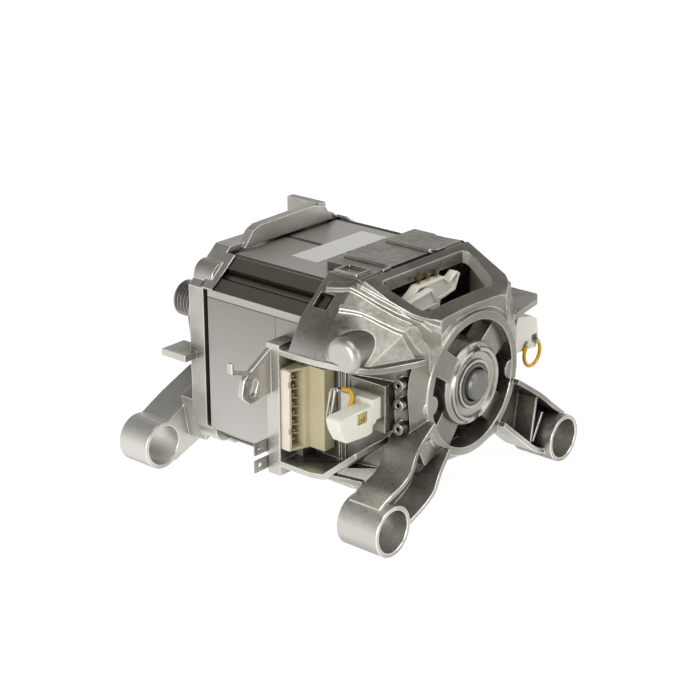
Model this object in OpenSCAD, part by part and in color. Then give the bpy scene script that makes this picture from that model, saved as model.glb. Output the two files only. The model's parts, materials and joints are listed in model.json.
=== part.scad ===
// Washing machine drive motor: brushed, with a poly-V pulley and four tubular feet.
// The shaft lies along Y with the pulley at +Y, +Z is up, and Y = 0 is the belt plane.

/* [Stator stack] */
// Width of the lamination stack
stack_w = 118; // [114:1:122]
// Height of the lamination stack
stack_h = 100; // [98:1:106]
// Length of the lamination stack along the shaft
stack_len = 62; // [50:1:80]
// Width of the flat top of the stack
stack_flat = 84; // [80:1:88]
// Height of the upright sides of the stack
stack_side = 74; // [70:1:78]
// Width of the corner notches that hold the through-bolts
notch_w = 6.4; // [6:0.1:7]
// Depth of the corner notches
notch_d = 6.8; // [6.2:0.1:8]
// Distance from the belt plane to the back of the stack
belt_to_stack = 68; // [66:1:80]

// Width of the rating label
label_w = 54; // [40:1:60]
// Length of the rating label along the shaft
label_len = 17; // [12:1:20]

/* [Armature] */
// Diameter of the armature core
armature_d = 60; // [56:0.5:62]
// Gap between the armature and the stator
air_gap = 0.5; // [0.3:0.1:1]
// Number of winding slots in the armature
armature_slots = 12; // [8:1:14]
// Number of commutator bars
commutator_bars = 24; // [16:1:28]
// Diameter of the commutator
commutator_d = 35; // [33:0.5:37]
// Length of the commutator bars
commutator_len = 20; // [17:0.5:22]
// Length of each winding head beyond the core
winding_len = 12; // [8:0.5:13]

/* [Shaft and bearings] */
// Shaft diameter in the front bearing
shaft_front_d = 12; // [11:0.5:13]
// Shaft diameter in the armature and rear bearing
shaft_d = 15; // [14:0.5:15.5]
// Outer diameter of the front bearing
front_bearing_d = 32; // [31:0.5:34]
// Width of the front bearing
front_bearing_w = 10; // [9:0.5:11]
// Outer diameter of the rear bearing
rear_bearing_d = 35; // [34:0.5:37]
// Width of the rear bearing
rear_bearing_w = 11; // [10:0.5:12]
// Ball diameter in both bearings
ball_d = 5.95; // [5.5:0.05:6.2]
// Number of balls in each bearing
ball_count = 7; // [5:1:7]
// Distance from the belt plane to the middle of the rear bearing
belt_to_bearing = 24.5; // [22:0.5:27]
// Diameter of the tacho magnet on the shaft's front end
magnet_d = 15; // [13:0.5:17]

/* [Pulley] */
// Outer diameter of the pulley
pulley_d = 20; // [18:0.5:24]
// Rib pitch of the belt
rib_pitch = 2.34; // [2.34:0.01:2.34]
// Number of belt grooves
rib_count = 6; // [4:1:7]
// Depth of the belt grooves
rib_depth = 1.8; // [1.4:0.1:2]
// Diameter of the shaft in the pulley
pulley_bore_d = 11; // [9:0.5:12]

/* [Feet] */
// Spacing of the foot bores across the motor
foot_spacing = 140; // [136:1:150]
// Height of the shaft above the foot bores
foot_drop = 50; // [48:0.5:54]
// Diameter of the foot bores
foot_bore_d = 20.6; // [19:0.1:22]
// Wall of the foot tubes
foot_wall = 2.2; // [1.8:0.1:3]
// Length of the front feet
front_foot_len = 24; // [20:1:28]
// Length of the rear feet
rear_foot_len = 20; // [16:1:24]
// Distance from the front foot faces to the rear foot faces
foot_pitch = 151; // [146:1:158]

/* [Front shield] */
// Length of the bell from the stack to the front of the ring
bell_len = 57.6; // [56:0.2:62]
// Wall of the castings
cast_wall = 3.4; // [2.8:0.1:4]
// Height that the shield stands above the stack
cover_rise = 4.5; // [3.5:0.1:6]
// Outer diameter of the front ring
ring_d = 72; // [70:0.5:75]
// Radial wall of the front ring
ring_wall = 4.2; // [3.5:0.1:5]
// Outer diameter of the front bearing hub
hub_d = 42; // [40:0.5:44]
// Width of the top window at its rear edge
window_w = 68; // [60:1:70]
// Length of the top window along the shaft
window_len = 23; // [18:1:26]

/* [Rear shield] */
// Number of air windows round the rear bearing
vent_count = 6; // [4:1:8]
// Radial width of the air windows
vent_w = 11; // [8:0.5:13]

/* [Side box] */
// Distance from the shaft to the outer face of the box
box_out = 71; // [68:0.5:74]
// Height of the box roof above the shaft
box_roof = 23; // [21:0.5:25]
// Depth of the box floor below the shaft
box_floor = 34.5; // [33:0.5:36]

/* [Brush gear] */
// Carbon brush width along the shaft
brush_w = 12.5; // [11:0.5:13]
// Carbon brush thickness
brush_t = 5; // [4.5:0.1:5.5]
// Carbon brush length
brush_len = 30; // [26:0.5:31]
// Distance from the ring front to the middle of the brushes
brush_setback = 24.6; // [24.6:0.2:27]
// Diameter of the yellow lead
lead_d = 2; // [1.6:0.1:2.4]

/* [Terminals] */
// Number of pins in the terminal block
pin_count = 8; // [5:1:8]
// Spacing of the terminal pins
pin_pitch = 4.6; // [4:0.1:4.6]
// Width of the flat earth tabs
tab_w = 6.3; // [5:0.1:6.3]

/* [Hidden] */
$fn = 64;
round_fn = 32;

// Clearances: a fixed seat, a sliding fit, a gap between castings, and how far a cut runs past a face
seat = 0.05;
slip = 0.2;
gap = 0.3;
over = 1;

// Stations along the shaft
stack_back = -belt_to_stack;
stack_front = stack_back - stack_len;
ring_face = stack_front - bell_len;
shaft_front = ring_face - 4.4;
front_bearing_y = ring_face + 3.6;
rear_bearing_y = -belt_to_bearing - rear_bearing_w / 2;
brush_y = ring_face + brush_setback;
commutator_y = brush_y - commutator_len / 2;
commutator_back = commutator_y + commutator_len;
front_foot_y = ring_face - 7.7;
rear_foot_y = front_foot_y + foot_pitch;

// Stack: octagon, stator slots and the bolts in its corner notches
half_flat = stack_flat / 2;
half_w = stack_w / 2;
half_h = stack_h / 2;
half_side = stack_side / 2;
bore_r = armature_d / 2 + air_gap;
tip_r = bore_r + 3;
slot_depth = 13;
slot_r = tip_r + slot_depth;
slot_angle = 40;
tip_angle = 22;
liner_t = 0.5;
coil_reach = 10;
seam = 2.2;
chamfer_mid = [(half_flat + half_w) / 2, (half_h + half_side) / 2];
chamfer_run = [half_w - half_flat, half_side - half_h];
chamfer_angle = atan2(chamfer_run.y, chamfer_run.x);
chamfer_out = [-chamfer_run.y, chamfer_run.x] / norm(chamfer_run);
bolt_r = 2.5;
bolt_at = chamfer_mid - chamfer_out * (notch_d - bolt_r - slip);
bolt_hold = 12;
nut_w = 7.4;
nut_t = 4;
pocket_y = stack_front - 7;
boss_r = 7.6;
label_t = 0.2;
label_setback = 21.5;
label_offset = 4;

// Armature and pulley
slot_round = 4;
slot_mouth = 2.4;
slot_pitch_r = armature_d / 2 - 8;
bar_depth = 4;
riser = 2;
collar = 1.9;
pulley_len = rib_count * rib_pitch + 2 * collar;
pulley_neck = 4;
magnet_step = 1.5;

// Bearings
race = ball_d / 2 * 0.6;
front_pitch_r = (front_bearing_d + shaft_front_d) / 4;
front_land = front_pitch_r + race;
rear_pitch_r = (rear_bearing_d + shaft_d) / 4;

// Front casting: cover over the stack, shoulder of the bell, ring and hub
cover_top = half_h + cover_rise;
cover_half_w = half_w + 1;
cover_flat = stack_flat - 5;
cover_y = stack_front - 18;
skirt_len = 12;
skirt_left = -27;
skirt_right = 41;
ring_r = ring_d / 2;
ring_bore = ring_r - ring_wall;
ring_depth = 11;
hub_r = hub_d / 2;
hub_face = ring_face - 1.6;
hub_back = front_bearing_y + front_bearing_w;
hub_bore = magnet_d / 2 + 3;
pocket_floor = front_bearing_y - 2;
shoulder_y = ring_face + 9;
shoulder_w = 2 * ring_r + 22;
shoulder_h = 2 * ring_r + 4;
shoulder_flat = 2 * ring_r + 2;
shoulder_side = 44;
shoulder_lean = 1.5;
window_y = ring_face + 8.5;
window_taper = 12;
rail_rise = 1.4;
ledge_rise = 2.4;
ledge_back = window_y + window_len + 4;
rib_x = 16;
rib_t = 2;
rib_y = cover_y - 2;
rib_back = stack_front + skirt_len - 2;
rib_curl = 4;
foot_r = foot_bore_d / 2 + foot_wall;
foot_x = foot_spacing / 2;
bulge_r = 10;
bulge_y = stack_front - 31;
bulge_x = box_out - 3;
bulge_z = box_roof + 3;

// Where the casting is parted: round the ring, at the legs and beside the box
collar_r = ring_r + 1.5;
leg_cut_z = -7.5;
box_cut = half_w - 7.5;
cut_off = 0.4;

// Legs of the front casting: two walls on a web, from the ring to the foot
leg_wall_t = 2.6;
leg_web = 4;
leg_front = front_foot_y + 4;
leg_back = front_foot_y + front_foot_len - 2;
left_outer = [[-34, -9], [-46, -18], [-51, -27], [-57, -32], [-66, -35], [-foot_x - 5, 11 - foot_drop]];
left_inner = [[-22, -26], [-29, -35], [-34, -44], [-42, -49], [-51, -52.5], [10 - foot_x, -foot_drop - 5]];
right_outer = [[33, -8.5], [52, -21], [64, -30.5], [foot_x + 5, 11 - foot_drop]];
right_inner = [[22, -28], [38, -41], [50, -50.5], [foot_x - 10, -foot_drop - 5]];
leg_pad = [[-41, -21], [-31, -18.5], [-27, -27.5], [-35.5, -32]];

// Side box and the bay walls beside the brushes
plate_t = 3;
box_back = stack_front + 12;
box_front = stack_front + 4;
recess_x = half_w - 9;
far_x = box_out + 40;
right_bay_y = stack_front - 21;
right_bay_low = -24;
right_roof_x = box_out + 3;
ear_reach = 20;
boss_screw_r = 3;

// Middle line of the right bay wall, from the ring to the stack
bay_line = spline([[ring_r - 2, ring_face + 7], [ring_r + 5, ring_face + 10.6], [ring_r + 9, ring_face + 24],
    [recess_x - cast_wall / 2, stack_front - 20], [recess_x - cast_wall / 2, stack_front + over]]);
bay_inside = shifted(bay_line, cast_wall / 2);
bay_outside = shifted(bay_line, -cast_wall / 2);

// Rails on the bell, seen from above: two on the left, one on the right
left_rail = spline([[-46, stack_front - 5], [-43.5, cover_y], [-35, ring_face + 11], [-24, ring_face + 2]]);
low_rail = spline([[-53, cover_y], [-48, cover_y - 10], [-41, ring_face + 10], [-33, ring_face + 1.5]]);
right_rail = spline([[45, stack_front - 7], [44, cover_y], [40.5, ring_face + 12], [28, ring_face + 2]]);

// Edge of the box roof that the bell's shoulder runs out to
roof_edge = [[0.8 - box_out, stack_front - 1], [1.6 - box_out, stack_front - 22],
    [9 - box_out, ring_face + 15], [-recess_x, stack_front - 22]];

// Inner edge that the roof and floor of the box share, clear of the stack
box_edge = [[2 - recess_x, stack_front - 20], [2 - recess_x, stack_front - seat],
    [-half_w - gap, stack_front - seat], [-half_w - gap, box_back], [-box_out, box_back]];
roof_outline = concat(box_edge, spline([[-box_out, stack_front + 4], [1 - box_out, stack_front - 21],
    [8 - box_out, ring_face + 13.6], [-ring_r - 10, ring_face + 4], [-ring_r, ring_face + 1]]),
    [[4 - ring_r, ring_face + 10]]);
floor_outline = concat(box_edge, spline([[-box_out, stack_front - 15], [8 - box_out, ring_face + 21],
    [-ring_r - 12, ring_face + 16]]), [[-ring_r - 4, ring_face + 16]]);

// Rear casting
rear_gap = 3;
rear_flange = 13;
claw = 4;
claw_r = 11;
rear_cone_y = stack_back + rear_flange + 14;
rear_cone_r = 40;
rear_hub_r = rear_bearing_d / 2 + 5;
rear_hub_y = rear_bearing_y - 4;
rear_hub_back = rear_bearing_y + rear_bearing_w + 3;
shaft_clear = 4;
vent_r = rear_hub_r + 3.5;
vent_pitch = 360 / vent_count;
rear_rib_t = 2.6;
arm_wall = 3;

// Brush gear
brush_gap = 0.1;
guide_t = 0.6;
holder_t = 1.9;
guide_w = brush_w + 2 * (slip + guide_t);
guide_h = brush_t + 2 * (slip + guide_t);
holder_w = guide_w + 2 * (slip + holder_t);
holder_h = guide_h + 2 * (slip + holder_t);
brush_x = commutator_d / 2 + brush_gap;
brush_end = brush_x + brush_len;
guide_x = brush_x + 3.5;
spring_len = 9.5;
holder_end = brush_end + spring_len + holder_t;
head_x = holder_end - 4;
left_head = [for (p = [[-0.5, -6.5], [0, 1.5], [3, 2.7], [5.5, 10.5], [9.6, 9.5], [10.4, 3.5], [22, 3.3],
    [26, 1.5], [24.5, -4], [21, -10.3], [6, -11.5], [2.2, -10.9], [2.2, -7.5]]) [head_x + p.x, p.y]];
right_head = [for (p = [[0, -4], [0, 6], [3, 14], [15, 12], [20, 9], [22, -0.6], [20, -6.5], [5, -5.4]])
    [head_x + p.x, p.y]];
head_t = 8.4;
head_back = head_t - holder_w / 2;
clip_x = head_x + 10;
clip_w = 4.6;
clip_t = 0.8;
clip_reach = 8;
lead_r = 6.2;
bridge_x = guide_x + 3;
bridge_w = 7;
carrier_y = brush_y + 3;
carrier_t = 5;
carrier_top = ring_r + 9.2;
carrier_arm = [[-bridge_x, 30], [-9, 30], [-1, 34], [3, 27], [8, 27], [9, 34], [21, 36], [24.5, 44], [22, 45.5],
    [16, 42], [12, carrier_top], [-8, carrier_top], [-12.5, carrier_top - 3], [-23, 37]];
carrier_pin = [1.2, 1.6, 3.6];
carrier_pins_x = [-6, 1, 8];

// Terminal block
block_low = -29;
block_high = 13;
block_wall = 1.5;
block_x = box_out - 2;
panel_x = recess_x + 8;
panel_y = stack_front - 13;
block_back = box_back - plate_t - gap;
socket_back = block_back - block_wall;
socket_x = half_w + 2;
pin = [1.6, 6, 0.8];
tab = [14, 0.8, tab_w];
tabs_z = [-28, -37];

// Shapes shared by several pieces

// Octagonal outline: width, height, flat top width, upright side height, sideways shift of the flats
function octagon(w, h, flat, side, lean = 0) = [
    [flat / 2 + lean, h / 2], [w / 2, side / 2], [w / 2, -side / 2], [flat / 2 + lean, -h / 2],
    [lean - flat / 2, -h / 2], [-w / 2, -side / 2], [-w / 2, side / 2], [lean - flat / 2, h / 2]];

// Points on an arc about the origin
function arc(r, a0, a1, n = 10) = [for (i = [0:n]) let (a = a0 + (a1 - a0) * i / n) r * [cos(a), sin(a)]];

// Ring sector outline
function sector(r0, r1, a0, a1) = concat(arc(r0, a0, a1), arc(r1, a1, a0));

// A corner at p rounded over the length t along both its sides
function corner(a, p, b, t, n) = [for (i = [0:n])
    p + (a - p) / norm(a - p) * t * pow(1 - i / n, 2) + (b - p) / norm(b - p) * t * pow(i / n, 2)];

// A closed outline with every corner rounded
function smooth(p, t, n = 4) = [for (i = [0:len(p) - 1])
    each corner(p[(i + len(p) - 1) % len(p)], p[i], p[(i + 1) % len(p)], t, n)];

// A smooth open curve through hand-set points
function through(a, b, c, d, s) = 0.5 * (2 * b + (c - a) * s + (2 * a - 5 * b + 4 * c - d) * s * s
    + (3 * b - a - 3 * c + d) * s * s * s);
function spline(p, n = 4) = concat([for (i = [0:len(p) - 2], k = [0:n - 1])
    through(p[max(i - 1, 0)], p[i], p[i + 1], p[min(i + 2, len(p) - 1)], k / n)], [p[len(p) - 1]]);

// An open curve moved sideways, and the outline of a wall of thickness w along it
function side_of(p, i) = let (d = p[min(i + 1, len(p) - 1)] - p[max(i - 1, 0)]) [-d.y, d.x] / norm(d);
function shifted(p, d) = [for (i = [0:len(p) - 1]) p[i] + side_of(p, i) * d];
function reversed(p) = [for (i = [len(p) - 1:-1:0]) p[i]];
function strip(p, w) = concat(shifted(p, w / 2), reversed(shifted(p, -w / 2)));
function mirrored(p) = [for (q = p) [-q.x, q.y]];

// An XZ outline pulled along the shaft from y0 to y1
module slab(y0, y1) {
    translate([0, y1, 0]) rotate([90, 0, 0]) linear_extrude(y1 - y0) children();
}

// An XY outline pulled up from z0 to z1
module plan(z0, z1) {
    translate([0, 0, z0]) linear_extrude(z1 - z0) children();
}

// A YZ outline pulled across from x0 to x1
module across(x0, x1) {
    translate([x0, 0, 0]) rotate([90, 0, 90]) linear_extrude(x1 - x0) children();
}

// A round bar along the shaft
module bar(x, z, y0, y1, r) {
    translate([x, y1, z]) rotate([90, 0, 0]) cylinder(h = y1 - y0, r = r);
}

// A body turned about the shaft from [radius, y] points
module turned(points) {
    rotate([-90, 0, 0]) rotate_extrude() polygon(points);
}

// A plain turned ring
module ring(r0, r1, y0, y1) {
    turned([[r0, y0], [r1, y0], [r1, y1], [r0, y1]]);
}

// The bore of a foot, cut past both its faces
module foot_bore(side, y, length) {
    bar(side * foot_x, -foot_drop, y - over, y + length + over, foot_bore_d / 2);
}

// Copies at the four corner bolts
module at_corners() {
    for (sx = [0, 1], sz = [0, 1]) mirror([sx, 0, 0]) mirror([0, 0, sz]) children();
}

// Stator

module stack_outline(grow = 0) {
    polygon(octagon(stack_w + 2 * grow, stack_h + 2 * grow, stack_flat + grow, stack_side + grow));
}

module notch_outline() {
    for (sx = [-1, 1], sz = [-1, 1]) scale([sx, sz]) translate(chamfer_mid) rotate(chamfer_angle)
        translate([-notch_w / 2, -notch_d]) square([notch_w, notch_d + over]);
}

module seam_outline() {
    for (x = [2 - half_flat, 0, half_flat - 2], s = [-1, 1])
        translate([x, s * half_h]) rotate(45) square(seam, center = true);
}

module stator_core() {
    color("darkgray") slab(stack_front, stack_back) difference() {
        stack_outline();
        notch_outline();
        seam_outline();
        circle(r = bore_r);
        for (a = [0, 180]) rotate(a) {
            polygon(sector(tip_r, slot_r, -slot_angle, slot_angle));
            polygon(concat([[0, 0]], arc(tip_r + gap, -tip_angle, tip_angle)));
        }
    }
}

// Two coil sides in the stator slots, joined by an arch at each end
module field_coil(turn) {
    inset = liner_t + 2 * slip;
    low = 2.4;
    high = slot_angle - 1.4;
    arch = coil_reach - 3;
    r0 = tip_r + inset;
    r1 = slot_r - inset;
    color("saddlebrown") rotate([0, turn, 0]) {
        slab(stack_front - coil_reach, stack_back + coil_reach) {
            polygon(sector(r0, r1, low, high));
            polygon(sector(r0, r1, 180 - high, 180 - low));
        }
        for (y = [stack_front - coil_reach, stack_back + coil_reach - arch])
            slab(y, y + arch) polygon(sector(r0, r1, low, 180 - low));
    }
}

module field_coil_upper() {
    field_coil(0);
}

module field_coil_lower() {
    field_coil(180);
}

module slot_liners() {
    proud = 1.5;
    color("ivory") for (a = [0, 180], s = [-1, 1])
        slab(stack_front - proud, stack_back + proud) rotate(a) scale([1, s]) difference() {
            polygon(sector(tip_r + slip, slot_r - slip, 0.6, slot_angle - 0.4));
            polygon(sector(tip_r + slip + liner_t, slot_r - slip - liner_t, 1.6, slot_angle - 1.1));
        }
}

module through_bolts() {
    color("gray") at_corners() {
        bar(bolt_at.x, bolt_at.y, pocket_y, stack_back + bolt_hold, bolt_r);
        translate([bolt_at.x, pocket_y, bolt_at.y]) rotate([0, -chamfer_angle, 0])
            cube([nut_w, nut_t, nut_w], center = true);
    }
}

module rating_label() {
    color("lightgray") translate([label_offset - label_w / 2, stack_front + label_setback, half_h + seat])
        cube([label_w, label_len, label_t]);
}

// Rotor

module rotor_shaft() {
    r = shaft_d / 2;
    front_r = shaft_front_d / 2;
    nose_r = front_r - magnet_step;
    end_r = pulley_bore_d / 2;
    pulley_end = pulley_len / 2;
    color("silver") turned([
        [0, shaft_front + 1], [nose_r, shaft_front + 1], [nose_r, front_bearing_y - gap],
        [front_r, front_bearing_y - gap], [front_r, hub_back + slip], [r, hub_back + slip],
        [r, -pulley_end - pulley_neck], [end_r, -pulley_end - pulley_neck],
        [end_r, pulley_end], [end_r - 0.5, pulley_end + 0.5], [0, pulley_end + 0.5]]);
}

module pulley() {
    r = pulley_d / 2;
    neck_r = r - 1.4;
    bore = pulley_bore_d / 2 + seat;
    front = -pulley_len / 2;
    neck_y = front - pulley_neck + seat;
    first = -rib_count * rib_pitch / 2;
    mouth = rib_pitch / 2 - 0.22;
    root = 0.25;
    grooves = [for (i = [0:rib_count - 1]) let (y = first + (i + 0.5) * rib_pitch)
        each [[r, y - mouth], [r - rib_depth, y - root], [r - rib_depth, y + root], [r, y + mouth]]];
    color("gainsboro") turned(concat(
        [[bore, neck_y], [neck_r, neck_y], [neck_r, front], [r, front]],
        grooves,
        [[r, -front - 1.2], [r - 1.2, -front], [bore, -front]]));
}

module armature_core() {
    color("dimgray") slab(stack_front, stack_back) difference() {
        circle(d = armature_d);
        circle(r = shaft_d / 2 + seat);
        for (i = [0:armature_slots - 1]) rotate(i * 360 / armature_slots) {
            translate([slot_pitch_r, 0]) circle(r = slot_round);
            translate([slot_pitch_r, -slot_mouth / 2]) square([armature_d, slot_mouth]);
        }
    }
}

module armature_winding() {
    in_r = shaft_d / 2 + slip;
    out_r = slot_pitch_r + slot_round + 0.5;
    start = 1;
    color("peru") {
        for (i = [0:armature_slots - 1]) rotate([0, i * 360 / armature_slots, 0])
            bar(slot_pitch_r, 0, stack_front - 2 * start, stack_back + 2 * start, slot_round - gap);
        for (s = [0, 1]) translate([0, s ? stack_back : stack_front, 0]) mirror([0, 1 - s, 0])
            turned([[in_r, start], [out_r, start], [out_r, winding_len - 6], [out_r - 1.5, winding_len - 2.5],
                [out_r - 5, winding_len], [in_r + 2, winding_len], [in_r, winding_len - 2]]);
    }
}

module commutator_hub() {
    r = commutator_d / 2 - bar_depth - seat;
    bore = shaft_d / 2 + seat;
    flange = r + bar_depth;
    flange_y = commutator_back + seat;
    color("maroon") turned([[bore, commutator_y], [r, commutator_y], [r, flange_y], [flange, flange_y],
        [flange, flange_y + 2], [bore, flange_y + 2]]);
}

module commutator_bars_set() {
    r1 = commutator_d / 2;
    r0 = r1 - bar_depth;
    pitch = 360 / commutator_bars;
    split = 0.7 / r1 * 180 / PI;
    color("orangered") for (i = [0:commutator_bars - 1]) rotate([0, i * pitch, 0])
        rotate([-90, 0, 0]) rotate_extrude(angle = pitch - split) polygon([
            [r0, commutator_y], [r1, commutator_y], [r1, commutator_back - riser],
            [r1 + riser, commutator_back - riser], [r1 + riser, commutator_back], [r0, commutator_back]]);
}

module tacho_magnet() {
    r = magnet_d / 2;
    bore = shaft_front_d / 2 - magnet_step + seat;
    back = front_bearing_y - 1;
    floor_y = shaft_front + 1 - seat;
    color("slategray") turned([[0, shaft_front], [r - 2, shaft_front], [r - 0.6, shaft_front + 0.6],
        [r, shaft_front + 2], [r, back], [bore, back], [bore, floor_y], [0, floor_y]]);
}

// Bearings

module bearing_outer(y, w, od, pitch_r) {
    r = od / 2;
    land = pitch_r + race;
    lip = pitch_r - race + 0.5;
    shield_t = 0.7;
    color("lightsteelblue") rotate([-90, 0, 0]) rotate_extrude() translate([0, y]) difference() {
        union() {
            translate([land, 0]) square([r - land, w]);
            translate([lip, gap]) square([r - lip, shield_t]);
            translate([lip, w - gap - shield_t]) square([r - lip, shield_t]);
        }
        translate([pitch_r, w / 2]) circle(r = ball_d / 2 + seat);
    }
}

module bearing_inner(y, w, id, pitch_r) {
    r0 = id / 2 + seat;
    color("lightsteelblue") rotate([-90, 0, 0]) rotate_extrude() translate([0, y]) difference() {
        translate([r0, 0]) square([pitch_r - race - r0, w]);
        translate([pitch_r, w / 2]) circle(r = ball_d / 2 + seat);
    }
}

// The balls and the thin cage ring beside them
module bearing_balls(y, w, pitch_r) {
    cage_y = y + w / 2 - ball_d / 2 - slip;
    color("white") {
        for (i = [0:ball_count - 1]) rotate([0, i * 360 / ball_count, 0])
            translate([pitch_r, y + w / 2, 0]) sphere(d = ball_d);
        ring(pitch_r - 0.8, pitch_r + 0.8, cage_y - 0.5, cage_y);
    }
}

module front_bearing_outer() {
    bearing_outer(front_bearing_y, front_bearing_w, front_bearing_d, front_pitch_r);
}

module front_bearing_inner() {
    bearing_inner(front_bearing_y, front_bearing_w, shaft_front_d, front_pitch_r);
}

module front_bearing_balls() {
    bearing_balls(front_bearing_y, front_bearing_w, front_pitch_r);
}

module rear_bearing_outer() {
    bearing_outer(rear_bearing_y, rear_bearing_w, rear_bearing_d, rear_pitch_r);
}

module rear_bearing_inner() {
    bearing_inner(rear_bearing_y, rear_bearing_w, shaft_d, rear_pitch_r);
}

module rear_bearing_balls() {
    bearing_balls(rear_bearing_y, rear_bearing_w, rear_pitch_r);
}

module spring_washer() {
    r1 = front_bearing_d / 2 - gap;
    r0 = front_land + 0.6;
    y = front_bearing_y - seat;
    color("goldenrod") turned([[r0, y - 1.2], [r0 + 1, y - 1.2], [r1, y - 0.6], [r1, y], [r1 - 0.6, y],
        [r0, y - 0.7]]);
}

module tacho_coil() {
    color("black") ring(magnet_d / 2 + 1, hub_bore - slip, hub_face + 0.6, pocket_floor + 0.8);
}

// Front casting

module cover_outline(inset) {
    polygon(octagon(2 * (cover_half_w - inset), 2 * (cover_top - inset), cover_flat - inset,
        stack_side - inset));
}

module shoulder_outline(inset) {
    polygon(octagon(shoulder_w - 2 * inset, shoulder_h - 2 * inset, shoulder_flat - inset,
        shoulder_side - inset, shoulder_lean));
}

// Outer form of the bell, which runs out to the box roof, and its hollow when the inset is one wall
module bell_form(inset) {
    hull() {
        slab(cover_y, stack_front + (inset > 0 ? over : 0)) cover_outline(inset);
        slab(shoulder_y + inset, shoulder_y + inset + 3) shoulder_outline(inset);
        bar(0, 0, ring_face + 0.4 + inset, ring_face + 3 + inset, ring_r - 0.5 - inset, $fn = round_fn);
        if (inset <= 0) plan(box_roof - plate_t, box_roof - 0.6 - inset) polygon(roof_edge);
    }
}

module bay_outline() {
    polygon(concat(bay_outside, [[far_x, stack_front + over], [far_x, bay_outside[0].y]]));
}

// Space beside the brushes, open to the side
module left_bay() {
    mirror([1, 0, 0]) plan(-box_floor, box_roof - plate_t) bay_outline();
}

module right_bay() {
    plan(right_bay_low, box_roof - plate_t) intersection() {
        bay_outline();
        translate([0, right_bay_y - bell_len]) square([far_x, bell_len]);
    }
}

module bell_hollow() {
    difference() {
        intersection() {
            bell_form(cast_wall);
            plan(-cover_top, cover_top) polygon(concat(bay_inside, reversed(mirrored(bay_inside))));
        }
        at_corners() bar(bolt_at.x, bolt_at.y, stack_front - 14, stack_front + over, boss_r);
    }
}

// Raised rails that follow the bell, seen from above
module rail_outline() {
    polygon(strip(left_rail, rib_t + 1));
    polygon(strip(low_rail, rib_t));
    polygon(strip(right_rail, rib_t + 1));
    translate([-38, cover_y + 2]) difference() {
        square([11, 14]);
        translate([1.2, 1.2]) square([8.6, 11.6]);
    }
}

// Ledge round the sides and front of the window, between the two upper rails
module ledge_outline() {
    intersection() {
        polygon(concat(left_rail, reversed(right_rail)));
        translate([-half_w, ring_face]) square([2 * half_w, ledge_back - ring_face]);
    }
}

// Swelling of the shoulder over the left bay: a drum lying across, its end rounded off
module bulge() {
    round_r = 4;
    length = bulge_x - recess_x + cast_wall;
    translate([-bulge_x, bulge_y, bulge_z]) rotate([0, 90, 0]) rotate_extrude()
        polygon(concat([[0, length], [0, 0]],
            [for (p = arc(round_r, -90, 0, 4)) p + [bulge_r - round_r, round_r]], [[bulge_r, length]]));
}

module window_cut(side) {
    front_w = window_w - window_taper;
    outline = [[-window_w / 2, window_y + window_len], [-front_w / 2, window_y],
        [front_w / 2, window_y], [window_w / 2, window_y + window_len]];
    mirror([0, 0, side < 0 ? 1 : 0]) plan(ring_r - 8, cover_top + 3 * over) polygon(smooth(outline, 5));
}

module bell() {
    difference() {
        union() {
            bell_form(0);
            intersection() {
                bell_form(-rail_rise);
                plan(0, cover_top + over + rail_rise) rail_outline();
            }
            intersection() {
                bell_form(-ledge_rise);
                plan(0, cover_top + over + ledge_rise) ledge_outline();
            }
            bulge();
        }
        bell_hollow();
        bar(0, 0, ring_face - over, shoulder_y + 4, ring_bore);
        window_cut(1);
        window_cut(-1);
        left_bay();
        right_bay();
    }
}

module leg_wall(points, w) {
    slab(leg_front, leg_back) polygon(strip(spline(points), w));
}

module leg_form(outer, inner, side) {
    leg_wall(outer, leg_wall_t);
    leg_wall(inner, leg_wall_t);
    slab(leg_back - leg_web, leg_back) polygon(concat(spline(outer), reversed(spline(inner))));
    bar(side * foot_x, -foot_drop, front_foot_y, front_foot_y + front_foot_len, foot_r);
}

// Bare pad on the left leg, thin ribs in the right leg
module leg_details() {
    slab(leg_front + 5, leg_back) polygon(smooth(leg_pad, 2));
    for (line = [[[54, -24], [50, -48]], [[60, -34], [52, -48]]])
        slab(leg_front + 3, leg_back) polygon(strip(line, 1.8));
}

module spoke(angle, w, front) {
    rotate([0, -angle, 0]) translate([hub_r - 3, front, -w / 2])
        cube([ring_bore - hub_r + 4, hub_back - front, w]);
}

module hub_form() {
    bearing_r = front_bearing_d / 2 + seat;
    turned([
        [hub_bore, hub_face + 1.6], [hub_bore + 2.5, hub_face + 0.4], [hub_bore + 4.5, hub_face + 2.2],
        [hub_r - 5, hub_face], [hub_r - 3, hub_face], [hub_r - 2.4, hub_face + 1.4],
        [hub_r - 0.6, hub_face + 2.4], [hub_r, hub_face + 4], [hub_r, hub_back], [bearing_r, hub_back],
        [bearing_r, pocket_floor], [hub_bore, pocket_floor]]);
}

// Ring with its two half-round bosses
module ring_form() {
    boss = 5;
    ring(ring_bore, ring_r, ring_face, ring_face + ring_depth);
    for (s = [-1, 1]) bar(s * (ring_r - boss + 1), -2, ring_face + 0.6, ring_face + ring_depth, boss);
}

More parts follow.
